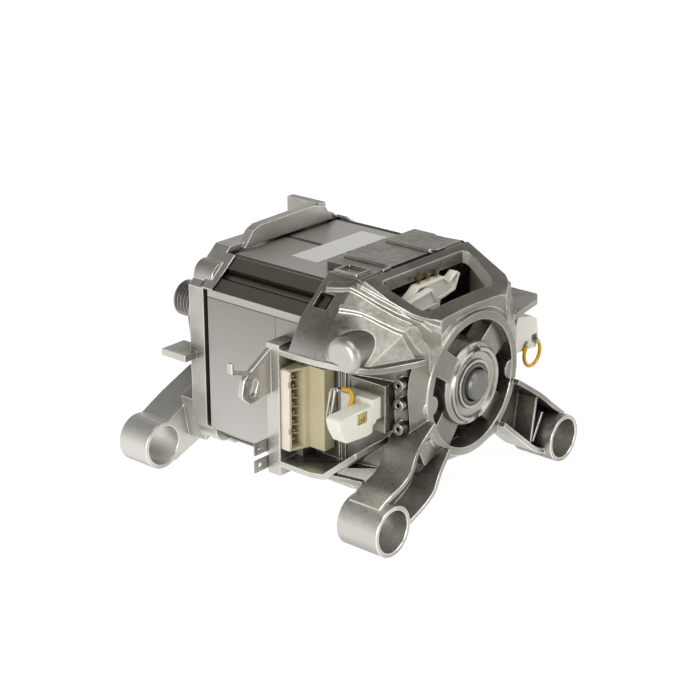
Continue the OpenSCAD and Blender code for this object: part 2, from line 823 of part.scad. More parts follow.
module box_form() {
    rise_y = ring_face + 16;
    level_y = stack_front - 22;
    floor_low = -box_floor - plate_t;
    wall_low = -box_floor - 8;
    plan(box_roof - plate_t, box_roof) polygon(roof_outline);
    // Floor: level below the block, rising towards the ring
    intersection() {
        plan(floor_low, 0) polygon(floor_outline);
        across(-box_out, 0) polygon([[box_back, floor_low], [level_y, floor_low], [rise_y, -17 - plate_t],
            [rise_y, -17], [level_y + 1, -box_floor], [box_back, -box_floor]]);
    }
    plan(floor_low, -box_floor) polygon(strip([[4 - box_out, stack_front - 14],
        [9 - box_out, ring_face + 17]], plate_t));
    // Frame beside the stack that the block sits in, with the earth pad below it
    difference() {
        translate([-box_out, box_front, wall_low])
            cube([box_out - half_w - gap, box_back - box_front, box_roof + 2 - wall_low]);
        translate([-block_x - gap, box_front - over, block_low - gap])
            cube([box_out, box_back - plate_t - box_front + over, block_high - block_low + 2 * gap]);
    }
    ear();
}

// Eye for the wiring, with a small hook on its upper edge
module ear() {
    tip = -box_out - ear_reach;
    slab(box_back - plate_t, box_back) {
        polygon(strip([[tip + 6, 13.5], [tip - 6, 17.5]], 1.8));
        polygon(strip([[tip - 5.4, 16.6], [tip - 5.4, 22]], 1.8));
    }
    difference() {
        slab(box_back - plate_t, box_back) polygon(smooth([[1 - box_out, box_roof], [tip + 2, 12], [tip, 3],
            [tip + 6, -2], [1 - box_out, 0]], 2));
        slab(box_back - plate_t - over, box_back + over) translate([tip + 8.5, 6])
            rotate(70) {
                square([5, 4], center = true);
                for (s = [-2.5, 2.5]) translate([s, 0]) circle(r = 2);
            }
    }
}

module roof_form() {
    back = right_bay_y + 2;
    plan(box_roof - plate_t, box_roof) polygon([[recess_x - 4, back], [right_roof_x, back],
        [right_roof_x, ring_face + 15], [right_roof_x - 7, ring_face + 10], [ring_r + 4, ring_face + 5],
        [ring_r - 2, ring_face + 12]]);
}

// Small screw bosses and upright ribs on the wall of the left bay
module bay_details() {
    for (z = [-11, 1, 11]) difference() {
        across(-ring_r - 11, -ring_r) translate([ring_face + 9, z]) circle(r = boss_screw_r);
        across(-far_x, -ring_r - 7) translate([ring_face + 9, z]) circle(r = 1);
    }
    for (y = [ring_face + 37, ring_face + 41]) translate([-recess_x - 1.2, y, -box_floor - over])
        cube([2, rib_t, box_floor + box_roof]);
    translate([-recess_x - 1.2, brush_y - 11.5, -13]) cube([8, 21, 24]);
}

// Skirt over the front of the stack
module top_skirt() {
    translate([skirt_left, stack_front - 2, half_h + slip])
        cube([skirt_right - skirt_left, skirt_len + 2, cover_rise - slip]);
}

// Two ribs that run over the skirt and the cover and curl outwards before the window
module cover_ribs() {
    for (side = [-1, 1]) plan(cover_top - over - rail_rise, cover_top + rail_rise)
        polygon(strip([for (p = concat([[0, rib_back]], [for (q = arc(rib_curl, 180, 270, 5))
            q + [rib_curl, rib_y + rib_curl]], [[2 * rib_curl, rib_y]])) [side * (rib_x + p.x), p.y]], rib_t));
}

// The casting apart from its hub and spokes
module casting() {
    difference() {
        union() {
            bell();
            ring_form();
            leg_form(left_outer, left_inner, -1);
            leg_form(right_outer, right_inner, 1);
            leg_details();
            box_form();
            roof_form();
            bay_details();
            top_skirt();
            cover_ribs();
        }
        for (s = [-1, 1]) {
            foot_bore(s, front_foot_y, front_foot_len);
            translate([s * (guide_x + holder_end) / 2, brush_y, 0])
                cube([holder_end, holder_w + 2 * gap, holder_h + 2 * gap], center = true);
        }
        at_corners() {
            bar(bolt_at.x, bolt_at.y, stack_front - 15, stack_front + over, bolt_r + slip);
            translate([bolt_at.x, pocket_y, bolt_at.y]) rotate([0, -chamfer_angle, 0])
                translate([0, 0, nut_w]) cube([nut_w + 1, nut_w + 1, 3 * nut_w + 1], center = true);
        }
    }
}

// Zones that part the casting, so that each part keeps its own openings clear
module collar_zone() {
    bar(0, 0, front_foot_y - over, leg_back, collar_r);
}

module leg_zone(side) {
    low = -foot_drop - foot_r - over;
    mirror([side < 0 ? 1 : 0, 0, 0]) {
        translate([0, front_foot_y - over, low])
            cube([far_x, leg_back - front_foot_y + over, leg_cut_z - low]);
        bar(foot_x, -foot_drop, front_foot_y - over, front_foot_y + front_foot_len + over, foot_r + over);
    }
}

module box_zone() {
    low = -box_floor - plate_t - cut_off;
    back = stack_front + cut_off;
    translate([-far_x, ring_face, low]) cube([far_x - box_cut, -ring_face, box_roof + cut_off - low]);
    translate([-far_x, back, -cover_top]) cube([far_x - box_cut, -back, 2 * cover_top]);
}

module roof_zone() {
    translate([box_cut, ring_face, 0])
        cube([far_x, right_bay_y - cut_off - ring_face, box_roof + cut_off]);
}

module front_shield() {
    color("dimgray") difference() {
        casting();
        collar_zone();
        leg_zone(-1);
        leg_zone(1);
        box_zone();
        roof_zone();
    }
}

module front_ring() {
    color("dimgray") intersection() {
        casting();
        collar_zone();
    }
}

module front_spokes() {
    color("dimgray") intersection() {
        union() {
            spoke(36, 17, ring_face + 4);
            spoke(145, 13, ring_face);
            spoke(231, 17, ring_face + 4);
            spoke(318, 15, ring_face + 4);
        }
        ring(hub_r, ring_bore, hub_face, hub_back + over);
    }
}

module front_hub() {
    color("dimgray") difference() {
        hub_form();
        for (s = [-1, 1]) translate([0, hub_face, s * (hub_r - 2)]) cube([6, 5, 5], center = true);
    }
}

module front_leg_left() {
    color("dimgray") difference() {
        intersection() {
            casting();
            leg_zone(-1);
        }
        collar_zone();
    }
}

module front_leg_right() {
    color("dimgray") difference() {
        intersection() {
            casting();
            leg_zone(1);
        }
        collar_zone();
    }
}

module side_box() {
    color("dimgray") difference() {
        intersection() {
            casting();
            box_zone();
        }
        leg_zone(-1);
    }
}

module bay_roof() {
    color("dimgray") intersection() {
        casting();
        roof_zone();
    }
}

// Rear casting

module rear_form(inset) {
    start = stack_back + rear_gap - (inset > 0 ? over : 0);
    hull() {
        slab(start, stack_back + rear_flange - inset) cover_outline(inset + 1);
        bar(0, 0, rear_cone_y - inset, rear_cone_y + 2 - inset, rear_cone_r - inset, $fn = round_fn);
        bar(0, 0, rear_hub_back - 6 - inset, rear_hub_back - 4 - inset, rear_hub_r - inset, $fn = round_fn);
    }
}

// Windows between the hub and the flange, one above the shaft, and the ribs between them
module rear_vents() {
    for (i = [0:vent_count - 1]) rotate([0, -90 - i * vent_pitch, 0]) slab(rear_cone_y - 6, rear_hub_back)
        polygon(smooth(sector(vent_r, vent_r + vent_w, -vent_pitch * 0.3, vent_pitch * 0.3), 0.8, 2));
}

module rear_ribs() {
    flange_y = stack_back + rear_flange;
    for (i = [0:vent_count - 1]) rotate([0, -90 - (i + 0.5) * vent_pitch, 0])
        plan(-rear_rib_t / 2, rear_rib_t / 2) polygon([[rear_hub_r - 1, rear_hub_back - 10],
            [rear_hub_r - 1, rear_hub_back - 1.5], [rear_hub_r + 1.5, rear_hub_back - 1.5],
            [rear_cone_r + 2.5, rear_cone_y + 3], [rear_cone_r + 5, flange_y - 1],
            [rear_cone_r - 4, flange_y - 1]]);
}

// Arm to the foot with a pocket in its rear face, and the web that ties it to the flange
module rear_leg(side) {
    y1 = rear_foot_y + rear_foot_len;
    mirror([side < 0 ? 1 : 0, 0, 0]) {
        difference() {
            slab(rear_foot_y, y1) polygon([[30, -22], [52, -31], [foot_x - 2, 11 - foot_drop],
                [foot_x - 8, -foot_drop - 11], [30, -half_h]]);
            slab(rear_foot_y + 2 * arm_wall, y1 + over) polygon(smooth([[30 + arm_wall, -22 - 2 * arm_wall],
                [51, -31 - arm_wall], [foot_x - 15, 2 - foot_drop], [foot_x - 15, -foot_drop - 5],
                [30 + arm_wall, arm_wall - half_h]], 2));
        }
        slab(stack_back + rear_flange - 2, rear_foot_y + 1) polygon([[half_w - 3, -27], [40, -19],
            [40, 6 - half_h], [half_w - 7, -half_h]]);
        bar(foot_x, -foot_drop, rear_foot_y, y1, foot_r);
    }
}

// Claws that reach over the two upper corners of the stack
module rear_claws() {
    for (s = [0, 1]) mirror([s, 0, 0]) slab(stack_back - claw, stack_back + rear_gap + over) difference() {
        intersection() {
            translate(chamfer_mid) circle(r = claw_r);
            cover_outline(0);
        }
        stack_outline(slip);
    }
}

module rear_shield() {
    color("silver") difference() {
        union() {
            difference() {
                rear_form(0);
                rear_vents();
                difference() {
                    rear_form(cast_wall);
                    at_corners() bar(bolt_at.x, bolt_at.y, stack_back, stack_back + rear_flange + 2, boss_r);
                    bar(0, 0, rear_hub_y, rear_hub_back, rear_hub_r);
                }
            }
            at_corners() bar(bolt_at.x, bolt_at.y, stack_back, stack_back + rear_flange, boss_r);
            bar(0, 0, rear_hub_y, rear_hub_back, rear_hub_r);
            difference() {
                union() {
                    rear_leg(-1);
                    rear_leg(1);
                    rear_ribs();
                }
                rear_form(cast_wall);
            }
            rear_claws();
            // Raised wall along the top of the flange
            slab(stack_back + 0.6, stack_back + 6) polygon([[-31, half_h + 1], [-25, cover_top + 4],
                [-20, cover_top + 6], [20, cover_top + 7], [30, cover_top + 5], [36, half_h + 1]]);
            // Side lug with its bracket, and the top lug
            translate([-half_w - 8, stack_back + 9, -2]) cube([16, 17, 3.8]);
            translate([-half_w, stack_back + 9, -14]) cube([8, plate_t, 13]);
            translate([27, stack_back + 2, half_h - 4]) cube([5, 23, 15]);
        }
        for (s = [-1, 1]) foot_bore(s, rear_foot_y, rear_foot_len);
        bar(0, 0, rear_bearing_y, rear_bearing_y + rear_bearing_w, rear_bearing_d / 2 + seat);
        bar(0, 0, rear_hub_y - over, rear_hub_back + over, shaft_d / 2 + shaft_clear);
        at_corners()
            bar(bolt_at.x, bolt_at.y, stack_back - over, stack_back + bolt_hold + slip, bolt_r + seat);
    }
}

// Brush gear: pieces are drawn on the right and mirrored to the left

module sided(side) {
    mirror([side < 0 ? 1 : 0, 0, 0]) translate([0, brush_y, 0]) children();
}

module box_tube(x0, x1, w, h, t) {
    difference() {
        translate([x0, -w / 2, -h / 2]) cube([x1 - x0, w, h]);
        translate([x0 - over, t - w / 2, t - h / 2]) cube([x1 - x0 + 2 * over, w - 2 * t, h - 2 * t]);
    }
}

module brush_holder(side, head) {
    slot_x = head_x + (side < 0 ? 6 : 16);
    color("whitesmoke") sided(side) difference() {
        union() {
            translate([guide_x, -holder_w / 2, -holder_h / 2])
                cube([holder_end - guide_x, holder_w, holder_h]);
            slab(-holder_w / 2, head_back) polygon(smooth(head, 0.6, 2));
        }
        translate([guide_x - over, -guide_w / 2 - slip, -guide_h / 2 - slip])
            cube([holder_end - holder_t - guide_x + over, guide_w + 2 * slip, guide_h + 2 * slip]);
        // Slot for the terminal in the head's face
        translate([slot_x, -holder_w / 2 - over, -3]) cube([4.5, 2.4 + over, 4]);
    }
}

module brush_guide(side) {
    color("gold") sided(side) box_tube(guide_x + 1, holder_end - holder_t - slip, guide_w, guide_h, guide_t);
}

module brush(side) {
    color("black") difference() {
        sided(side) translate([brush_x - 2, -brush_w / 2, -brush_t / 2])
            cube([brush_len + 2, brush_w, brush_t]);
        bar(0, 0, brush_y - brush_w, brush_y + brush_w, brush_x);
    }
}

module brush_spring(side) {
    r = brush_t / 2 - 0.4;
    color("lightgray") sided(side) translate([brush_end + slip, 0, 0]) rotate([0, 90, 0]) difference() {
        cylinder(h = spring_len - 2 * slip, r = r);
        translate([0, 0, -over]) cylinder(h = spring_len + 2 * over, r = r - 0.8);
    }
}

// Flat clip that stands behind the head on its bent foot
module brush_terminal(side) {
    low = -5;
    high = 9;
    color("gold") sided(side) {
        translate([clip_x, head_back + clip_reach - clip_t, low]) cube([clip_w, clip_t, high - low]);
        translate([clip_x, head_back + seat, low]) cube([clip_w, clip_reach - seat, clip_t]);
    }
}

// Wire loop: round the back of the left head, and in front of the right one
module lead_arc(r, a0, sweep) {
    rotate([90, 0, 0]) rotate([0, 0, a0]) rotate_extrude(angle = sweep) translate([r, 0])
        circle(d = lead_d, $fn = 16);
}

module brush_lead_left() {
    run = 5;
    y = brush_y + head_back + lead_d / 2 + slip;
    color("gold") translate([-holder_end - lead_r - lead_d, y, 5]) rotate([0, 14, 0]) {
        lead_arc(lead_r, -90, 180);
        for (s = [-1, 1]) translate([-run, 0, s * lead_r]) rotate([0, 90, 0])
            cylinder(h = run, d = lead_d, $fn = 16);
    }
}

module brush_lead_right() {
    y = brush_y - holder_w / 2 - lead_d / 2 - slip;
    color("gold") translate([head_x + 15, y, -8]) lead_arc(lead_r + 0.8, 130, 280);
}

module brush_holder_left() {
    brush_holder(-1, left_head);
}

module brush_holder_right() {
    brush_holder(1, right_head);
}

module brush_guide_left() {
    brush_guide(-1);
}

module brush_guide_right() {
    brush_guide(1);
}

module brush_left() {
    brush(-1);
}

module brush_right() {
    brush(1);
}

module brush_spring_left() {
    brush_spring(-1);
}

module brush_spring_right() {
    brush_spring(1);
}

module brush_terminal_left() {
    brush_terminal(-1);
}

module brush_terminal_right() {
    brush_terminal(1);
}

// Carrier behind the top window: an upright plate with an arm, on a leg that stands on the left holder
module brush_bridge() {
    low = holder_h / 2 + seat;
    color("whitesmoke") slab(carrier_y, carrier_y + carrier_t) {
        polygon(concat([[-bridge_x - bridge_w, low], [-bridge_x, low]], carrier_arm,
            [[-bridge_x - bridge_w, 34]]));
    }
}

module bridge_pins() {
    color("gold") for (x = carrier_pins_x)
        translate([x, carrier_y + (carrier_t - carrier_pin.y) / 2, carrier_top + seat]) cube(carrier_pin);
}

// Terminals

module terminal_block() {
    color("wheat") difference() {
        plan(block_low, block_high) polygon([
            [-block_x, block_back], [-block_x, stack_front], [-panel_x, stack_front - 4],
            [-panel_x, panel_y], [-recess_x - gap, panel_y], [-recess_x - gap, stack_front - gap],
            [-half_w - gap - slip, stack_front - gap], [-half_w - gap - slip, block_back]]);
        plan(block_low + block_wall, block_high - block_wall) polygon([
            [block_wall - block_x, socket_back], [block_wall - block_x, panel_y],
            [-socket_x, panel_y], [-socket_x, socket_back]]);
    }
}

module terminal_pins() {
    span = (pin_count - 1) * pin_pitch;
    mid = (block_low + block_high) / 2;
    pin_x = (block_wall - block_x - socket_x) / 2;
    color("gold") for (i = [0:pin_count - 1])
        translate([pin_x, socket_back - seat - pin.y / 2, mid - span / 2 + i * pin_pitch])
            cube(pin, center = true);
}

module earth_tabs() {
    color("silver") for (z = tabs_z)
        translate([-box_out - 9, box_back + seat, z - tab_w / 2]) cube(tab);
}

stator_core();
field_coil_upper();
field_coil_lower();
slot_liners();
through_bolts();
rear_shield();
front_shield();
front_ring();
front_spokes();
front_hub();
front_leg_left();
front_leg_right();
side_box();
bay_roof();
rotor_shaft();
armature_core();
armature_winding();
commutator_hub();
commutator_bars_set();
pulley();
tacho_magnet();
tacho_coil();
front_bearing_outer();
front_bearing_inner();
front_bearing_balls();
rear_bearing_outer();
rear_bearing_inner();
rear_bearing_balls();
spring_washer();
terminal_block();
terminal_pins();
brush_holder_left();
brush_holder_right();
brush_guide_left();
brush_guide_right();
brush_left();
brush_right();
brush_spring_left();
brush_spring_right();
brush_terminal_left();
brush_terminal_right();
brush_lead_left();
brush_lead_right();
brush_bridge();
bridge_pins();
earth_tabs();
rating_label();
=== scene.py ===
import bpy
import json
import math
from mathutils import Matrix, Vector
from mathutils.bvhtree import BVHTree

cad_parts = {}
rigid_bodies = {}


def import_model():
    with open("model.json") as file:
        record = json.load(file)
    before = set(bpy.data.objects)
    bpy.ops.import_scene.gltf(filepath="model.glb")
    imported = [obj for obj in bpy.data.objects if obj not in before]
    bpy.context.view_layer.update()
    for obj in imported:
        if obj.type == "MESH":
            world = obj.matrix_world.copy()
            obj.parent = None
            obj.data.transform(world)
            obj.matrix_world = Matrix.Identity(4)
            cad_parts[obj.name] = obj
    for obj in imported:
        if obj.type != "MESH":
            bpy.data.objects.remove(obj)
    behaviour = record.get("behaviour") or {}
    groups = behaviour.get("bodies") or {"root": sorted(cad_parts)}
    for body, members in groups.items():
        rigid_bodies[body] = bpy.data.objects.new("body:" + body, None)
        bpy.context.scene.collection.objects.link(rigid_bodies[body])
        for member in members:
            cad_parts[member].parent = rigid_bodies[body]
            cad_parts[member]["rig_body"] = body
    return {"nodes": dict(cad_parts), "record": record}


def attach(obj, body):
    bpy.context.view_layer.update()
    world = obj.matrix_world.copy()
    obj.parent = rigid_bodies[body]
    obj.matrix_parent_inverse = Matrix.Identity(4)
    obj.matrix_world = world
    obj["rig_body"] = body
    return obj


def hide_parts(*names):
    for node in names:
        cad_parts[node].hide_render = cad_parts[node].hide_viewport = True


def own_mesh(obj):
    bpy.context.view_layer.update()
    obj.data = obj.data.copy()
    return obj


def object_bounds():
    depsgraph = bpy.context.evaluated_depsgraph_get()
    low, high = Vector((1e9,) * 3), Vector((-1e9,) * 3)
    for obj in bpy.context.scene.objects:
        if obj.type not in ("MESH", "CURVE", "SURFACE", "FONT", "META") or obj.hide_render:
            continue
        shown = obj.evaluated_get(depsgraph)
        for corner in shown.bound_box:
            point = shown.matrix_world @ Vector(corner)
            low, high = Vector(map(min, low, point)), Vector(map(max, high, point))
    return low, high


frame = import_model()
cadLow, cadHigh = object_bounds()
mm = 0.001
nodes = frame["nodes"]
slotOf = {part["node"]: part["material_slot"] for part in frame["record"]["subparts"]}
print("frame loaded with", len(nodes), "nodes")

# camera, solved from the photograph: looks down on the commutator end from the left
cameraView = {"lens": 89.95, "sensor": 36, "nearest": 0.01,
              "place": (-0.6324, -0.6463, 0.3157), "target": (0, -0.10971, -0.00199)}


# the turn that makes a camera or a lamp at this place look at the target
def aimFrom(place):
    return (Vector(cameraView["target"]) - Vector(place)).to_track_quat("-Z", "Y").to_euler()


bpy.ops.object.select_all(action="DESELECT")
bpy.ops.object.camera_add(location=cameraView["place"])
camera = bpy.context.object
camera.name = "studioCamera"
camera.data.lens = cameraView["lens"]
camera.data.sensor_width = cameraView["sensor"]
camera.data.clip_start = cameraView["nearest"]
camera.rotation_euler = aimFrom(cameraView["place"])
bpy.context.scene.camera = camera
bpy.context.scene.view_settings.view_transform = "Standard"
print("camera set")


# sRGB hex to the linear colour that sockets take
def hexColor(code):
    parts = [int(code[i:i + 2], 16) / 255 for i in (1, 3, 5)]
    return [p / 12.92 if p <= 0.04045 else ((p + 0.055) / 1.055) ** 2.4 for p in parts] + [1]


# one node with its settings, values and links
def addNode(tree, kind, settings={}, inputs={}):
    node = tree.nodes.new("ShaderNode" + kind)
    for name, value in settings.items():
        setattr(node, name, value)
    for name, value in inputs.items():
        if isinstance(value, bpy.types.NodeSocket):
            tree.links.new(value, node.inputs[name])
        else:
            node.inputs[name].default_value = value
    return node


# scale of a pattern that repeats every so many millimetres, and of a wave with that spacing
def every(sizeMm):
    return 1 / (sizeMm * mm)


def waves(sizeMm):
    return every(sizeMm) * math.pi / 10


# a new material, its tree, its shader and the place on the piece
def newMaterial(name, **values):
    material = bpy.data.materials.new(name)
    material.use_nodes = True
    tree = material.node_tree
    shader = tree.nodes["Principled BSDF"]
    for socket, value in values.items():
        shader.inputs[socket.replace("_", " ")].default_value = value
    place = addNode(tree, "TexCoord").outputs["Object"]
    return material, tree, shader, place


# die-cast aluminium: satin grey skin with fine grain and cloudy flow marks, painted shade in corners, paler on the feet
# as painted light from the white floor, and paler too on the outer edge of the side box
castSkin = {"metallic": 0.85, "flowMm": 18, "flowRange": (0.36, 0.64), "grainMm": 2.4, "bump": 0.06, "bumpMm": 0.3,
            "footMm": (-22, -48), "boxMm": (-62, -70), "boxShare": 0.7}


def castAluminium(name, look):
    material, tree, shader, place = newMaterial(name, Metallic=castSkin["metallic"])
    flow = addNode(tree, "TexNoise", {}, {"Vector": place, "Scale": every(castSkin["flowMm"]), "Detail": 2,
                                          "Roughness": 0.5})
    tone = addNode(tree, "ValToRGB", {}, {"Fac": flow.outputs["Fac"]})
    for stop, position, shade in zip(tone.color_ramp.elements, castSkin["flowRange"], (look["dark"], look["pale"])):
        stop.position = position
        stop.color = hexColor(shade)
    at = addNode(tree, "SeparateXYZ", {}, {"Vector": place})
    # painted light: the skin is paler towards the feet, a painted reflection of the white floor; it is paler too
    # towards the side box's outer edge
    footTop, footLow = castSkin["footMm"]
    low = addNode(tree, "MapRange", {"interpolation_type": "SMOOTHSTEP"},
                  {"Value": at.outputs["Z"], "From Min": footTop * mm, "From Max": footLow * mm,
                   "To Min": 0, "To Max": look["footShare"]})
    boxIn, boxOut = castSkin["boxMm"]
    side = addNode(tree, "MapRange", {"interpolation_type": "SMOOTHSTEP"},
                   {"Value": at.outputs["X"], "From Min": boxIn * mm, "From Max": boxOut * mm,
                    "To Min": 0, "To Max": castSkin["boxShare"]})
    paleShare = addNode(tree, "Math", {"operation": "MAXIMUM"}, {0: low.outputs["Result"], 1: side.outputs["Result"]})
    paled = addNode(tree, "Mix", {"data_type": "RGBA"},
                    {"Factor": paleShare.outputs["Value"], "A": tone.outputs["Color"], "B": hexColor(look["foot"])})
    # painted shade: where ambient occlusion finds corners and recesses, the colour is darkened
    corner = addNode(tree, "AmbientOcclusion", {"samples": 12}, {"Distance": look["cornerMm"] * mm})
    cavity = addNode(tree, "MapRange", {}, {"Value": corner.outputs["AO"], "From Min": 0.1, "From Max": 0.9,
                                            "To Min": look["shadeShare"], "To Max": 0})
    shaded = addNode(tree, "Mix", {"data_type": "RGBA"},
                      {"Factor": cavity.outputs["Result"], "A": paled.outputs["Result"], "B": hexColor(look["cornerShade"])})
    grain = addNode(tree, "TexNoise", {}, {"Vector": place, "Scale": every(castSkin["grainMm"]), "Detail": 1})
    gloss = addNode(tree, "MapRange", {}, {"Value": grain.outputs["Fac"], "From Min": 0.3, "From Max": 0.7,
                                           "To Min": look["rough"] - 0.06, "To Max": look["rough"] + 0.1})
    skin = addNode(tree, "Bump", {}, {"Height": grain.outputs["Fac"], "Strength": castSkin["bump"],
                                      "Distance": castSkin["bumpMm"] * mm})
    tree.links.new(shaded.outputs["Result"], shader.inputs["Base Color"])
    tree.links.new(gloss.outputs["Result"], shader.inputs["Roughness"])
    tree.links.new(skin.outputs["Normal"], shader.inputs["Normal"])
    return material


# stacked electrical steel: faint sheet edges, 0.5 mm apart and drawn at 1 mm so that they show, painted shade in the
# notches;
# the stator's chamfers get a brown painted shade by their slant, and its sides carry a pale plate with two seams
sheetSteel = {"metallic": 0.75, "edgeMm": 1.0, "streakMm": 6, "streakScale": (0.05, 1, 0.05), "cornerMm": 9,
              "bump": 0.05, "bumpMm": 0.2, "plateLowMm": -35, "topSeamMm": 0.3, "endSeamMm": 0.2, "steep": 0.9}


def sheetStack(name, look):
    material, tree, shader, place = newMaterial(name, Metallic=sheetSteel["metallic"])
    sheet = addNode(tree, "TexWave", {"bands_direction": "Y"}, {"Vector": place, "Scale": waves(sheetSteel["edgeMm"]),
                                                              "Distortion": 0.6, "Detail": 2, "Detail Scale": 2})
    drawn = addNode(tree, "Mapping", {}, {"Vector": place, "Scale": sheetSteel["streakScale"]})
    streak = addNode(tree, "TexNoise", {}, {"Vector": drawn.outputs["Vector"], "Scale": every(sheetSteel["streakMm"]),
                                            "Detail": 4})
    tone = addNode(tree, "Mix", {"data_type": "RGBA"},
                   {"Factor": streak.outputs["Fac"], "A": hexColor(look["dark"]), "B": hexColor(look["pale"])})
    # painted shade: where ambient occlusion finds the notches, the colour is darkened
    corner = addNode(tree, "AmbientOcclusion", {"samples": 6}, {"Distance": sheetSteel["cornerMm"] * mm})
    cavity = addNode(tree, "MapRange", {}, {"Value": corner.outputs["AO"], "From Min": 0.2, "From Max": 0.9,
                                            "To Min": 1, "To Max": 0})
    shaded = addNode(tree, "Mix", {"data_type": "RGBA"},
                      {"Factor": cavity.outputs["Result"], "A": tone.outputs["Result"], "B": hexColor(look["cornerShade"])})
    gloss = addNode(tree, "MapRange", {}, {"Value": streak.outputs["Fac"], "To Min": look["rough"] - 0.08,
                                           "To Max": look["rough"] + 0.1})
    edge = addNode(tree, "Bump", {}, {"Height": sheet.outputs["Fac"], "Strength": sheetSteel["bump"],
                                      "Distance": sheetSteel["bumpMm"] * mm})
    skin = shaded
    if "plate" in look:
        plateTop = look["plateTopMm"] * mm
        facing = addNode(tree, "SeparateXYZ", {}, {"Vector": addNode(tree, "NewGeometry").outputs["Normal"]})
        at = addNode(tree, "SeparateXYZ", {}, {"Vector": place})
        across = addNode(tree, "Math", {"operation": "ABSOLUTE"}, {0: facing.outputs["X"]})
        upright = addNode(tree, "Math", {"operation": "GREATER_THAN"},
                          {0: across.outputs["Value"], 1: sheetSteel["steep"]})
        below = addNode(tree, "Math", {"operation": "LESS_THAN"}, {0: at.outputs["Z"], 1: plateTop})
        onPlate = addNode(tree, "Math", {"operation": "MULTIPLY"},
                          {0: upright.outputs["Value"], 1: below.outputs["Value"]})
        paler = addNode(tree, "MapRange", {}, {"Value": at.outputs["Z"], "From Min": plateTop,
                                               "From Max": sheetSteel["plateLowMm"] * mm, "To Min": 0, "To Max": 1})
        shade = addNode(tree, "Mix", {"data_type": "RGBA"},
                        {"Factor": paler.outputs["Result"],
                         "A": hexColor(look["plateTop"]), "B": hexColor(look["plate"])})
        plate = addNode(tree, "Mix", {"data_type": "RGBA"},
                        {"Factor": onPlate.outputs["Value"],
                         "A": shaded.outputs["Result"], "B": shade.outputs["Result"]})
        topSeam = addNode(tree, "Math", {"operation": "COMPARE"},
                          {0: at.outputs["Z"], 1: plateTop, 2: sheetSteel["topSeamMm"] * mm})
        endSeam = addNode(tree, "Math", {"operation": "COMPARE"},
                          {0: at.outputs["Y"], 1: look["plateSeamMm"] * mm, 2: sheetSteel["endSeamMm"] * mm})
        lowSeam = addNode(tree, "Math", {"operation": "MULTIPLY"},
                          {0: endSeam.outputs["Value"], 1: below.outputs["Value"]})
        seams = addNode(tree, "Math", {"operation": "MAXIMUM"},
                        {0: topSeam.outputs["Value"], 1: lowSeam.outputs["Value"]})
        lines = addNode(tree, "Math", {"operation": "MULTIPLY"},
                        {0: seams.outputs["Value"], 1: upright.outputs["Value"]})
        # painted shade: faces that slant between side and top, the chamfers, are darkened brown
        slant = addNode(tree, "Math", {"operation": "MULTIPLY"}, {0: facing.outputs["X"], 1: facing.outputs["Z"]})
        slope = addNode(tree, "Math", {"operation": "ABSOLUTE"}, {0: slant.outputs["Value"]})
        slantShade = addNode(tree, "MapRange", {}, {"Value": slope.outputs["Value"], "From Min": 0.2, "From Max": 0.4,
                                                 "To Min": 0, "To Max": 0.95})
        dark = addNode(tree, "Math", {"operation": "MAXIMUM"},
                       {0: lines.outputs["Value"], 1: slantShade.outputs["Result"]})
        skin = addNode(tree, "Mix", {"data_type": "RGBA"},
                       {"Factor": dark.outputs["Value"], "A": plate.outputs["Result"], "B": hexColor(look["slantShade"])})
    tree.links.new(skin.outputs["Result"], shader.inputs["Base Color"])
    tree.links.new(gloss.outputs["Result"], shader.inputs["Roughness"])
    tree.links.new(edge.outputs["Normal"], shader.inputs["Normal"])
    return material


# machined or plated metal: clear reflections broken by fine tool marks of the given spacing
def workedMetal(name, look):
    material, tree, shader, place = newMaterial(name, Metallic=look.get("metallic", 1.0))
    mark = addNode(tree, "TexNoise", {}, {"Vector": place, "Scale": every(look["markMm"]), "Detail": 4})
    tone = addNode(tree, "Mix", {"data_type": "RGBA"},
                   {"Factor": mark.outputs["Fac"], "A": hexColor(look["dark"]), "B": hexColor(look["pale"])})
    gloss = addNode(tree, "MapRange", {}, {"Value": mark.outputs["Fac"], "To Min": look["rough"] - 0.08,
                                           "To Max": look["rough"] + 0.12})
    dent = addNode(tree, "Bump", {}, {"Height": mark.outputs["Fac"], "Strength": 0.08, "Distance": 0.2 * mm})
    tree.links.new(tone.outputs["Result"], shader.inputs["Base Color"])
    tree.links.new(gloss.outputs["Result"], shader.inputs["Roughness"])
    tree.links.new(dent.outputs["Normal"], shader.inputs["Normal"])
    return material


# moulded plastic: slight colour drift, painted shade in corners and a fine spark-eroded texture
plasticSkin = {"ior": 1.5, "driftMm": 9, "cornerMm": 4, "edgeMm": 0.25, "bump": 0.06, "bumpMm": 0.1}


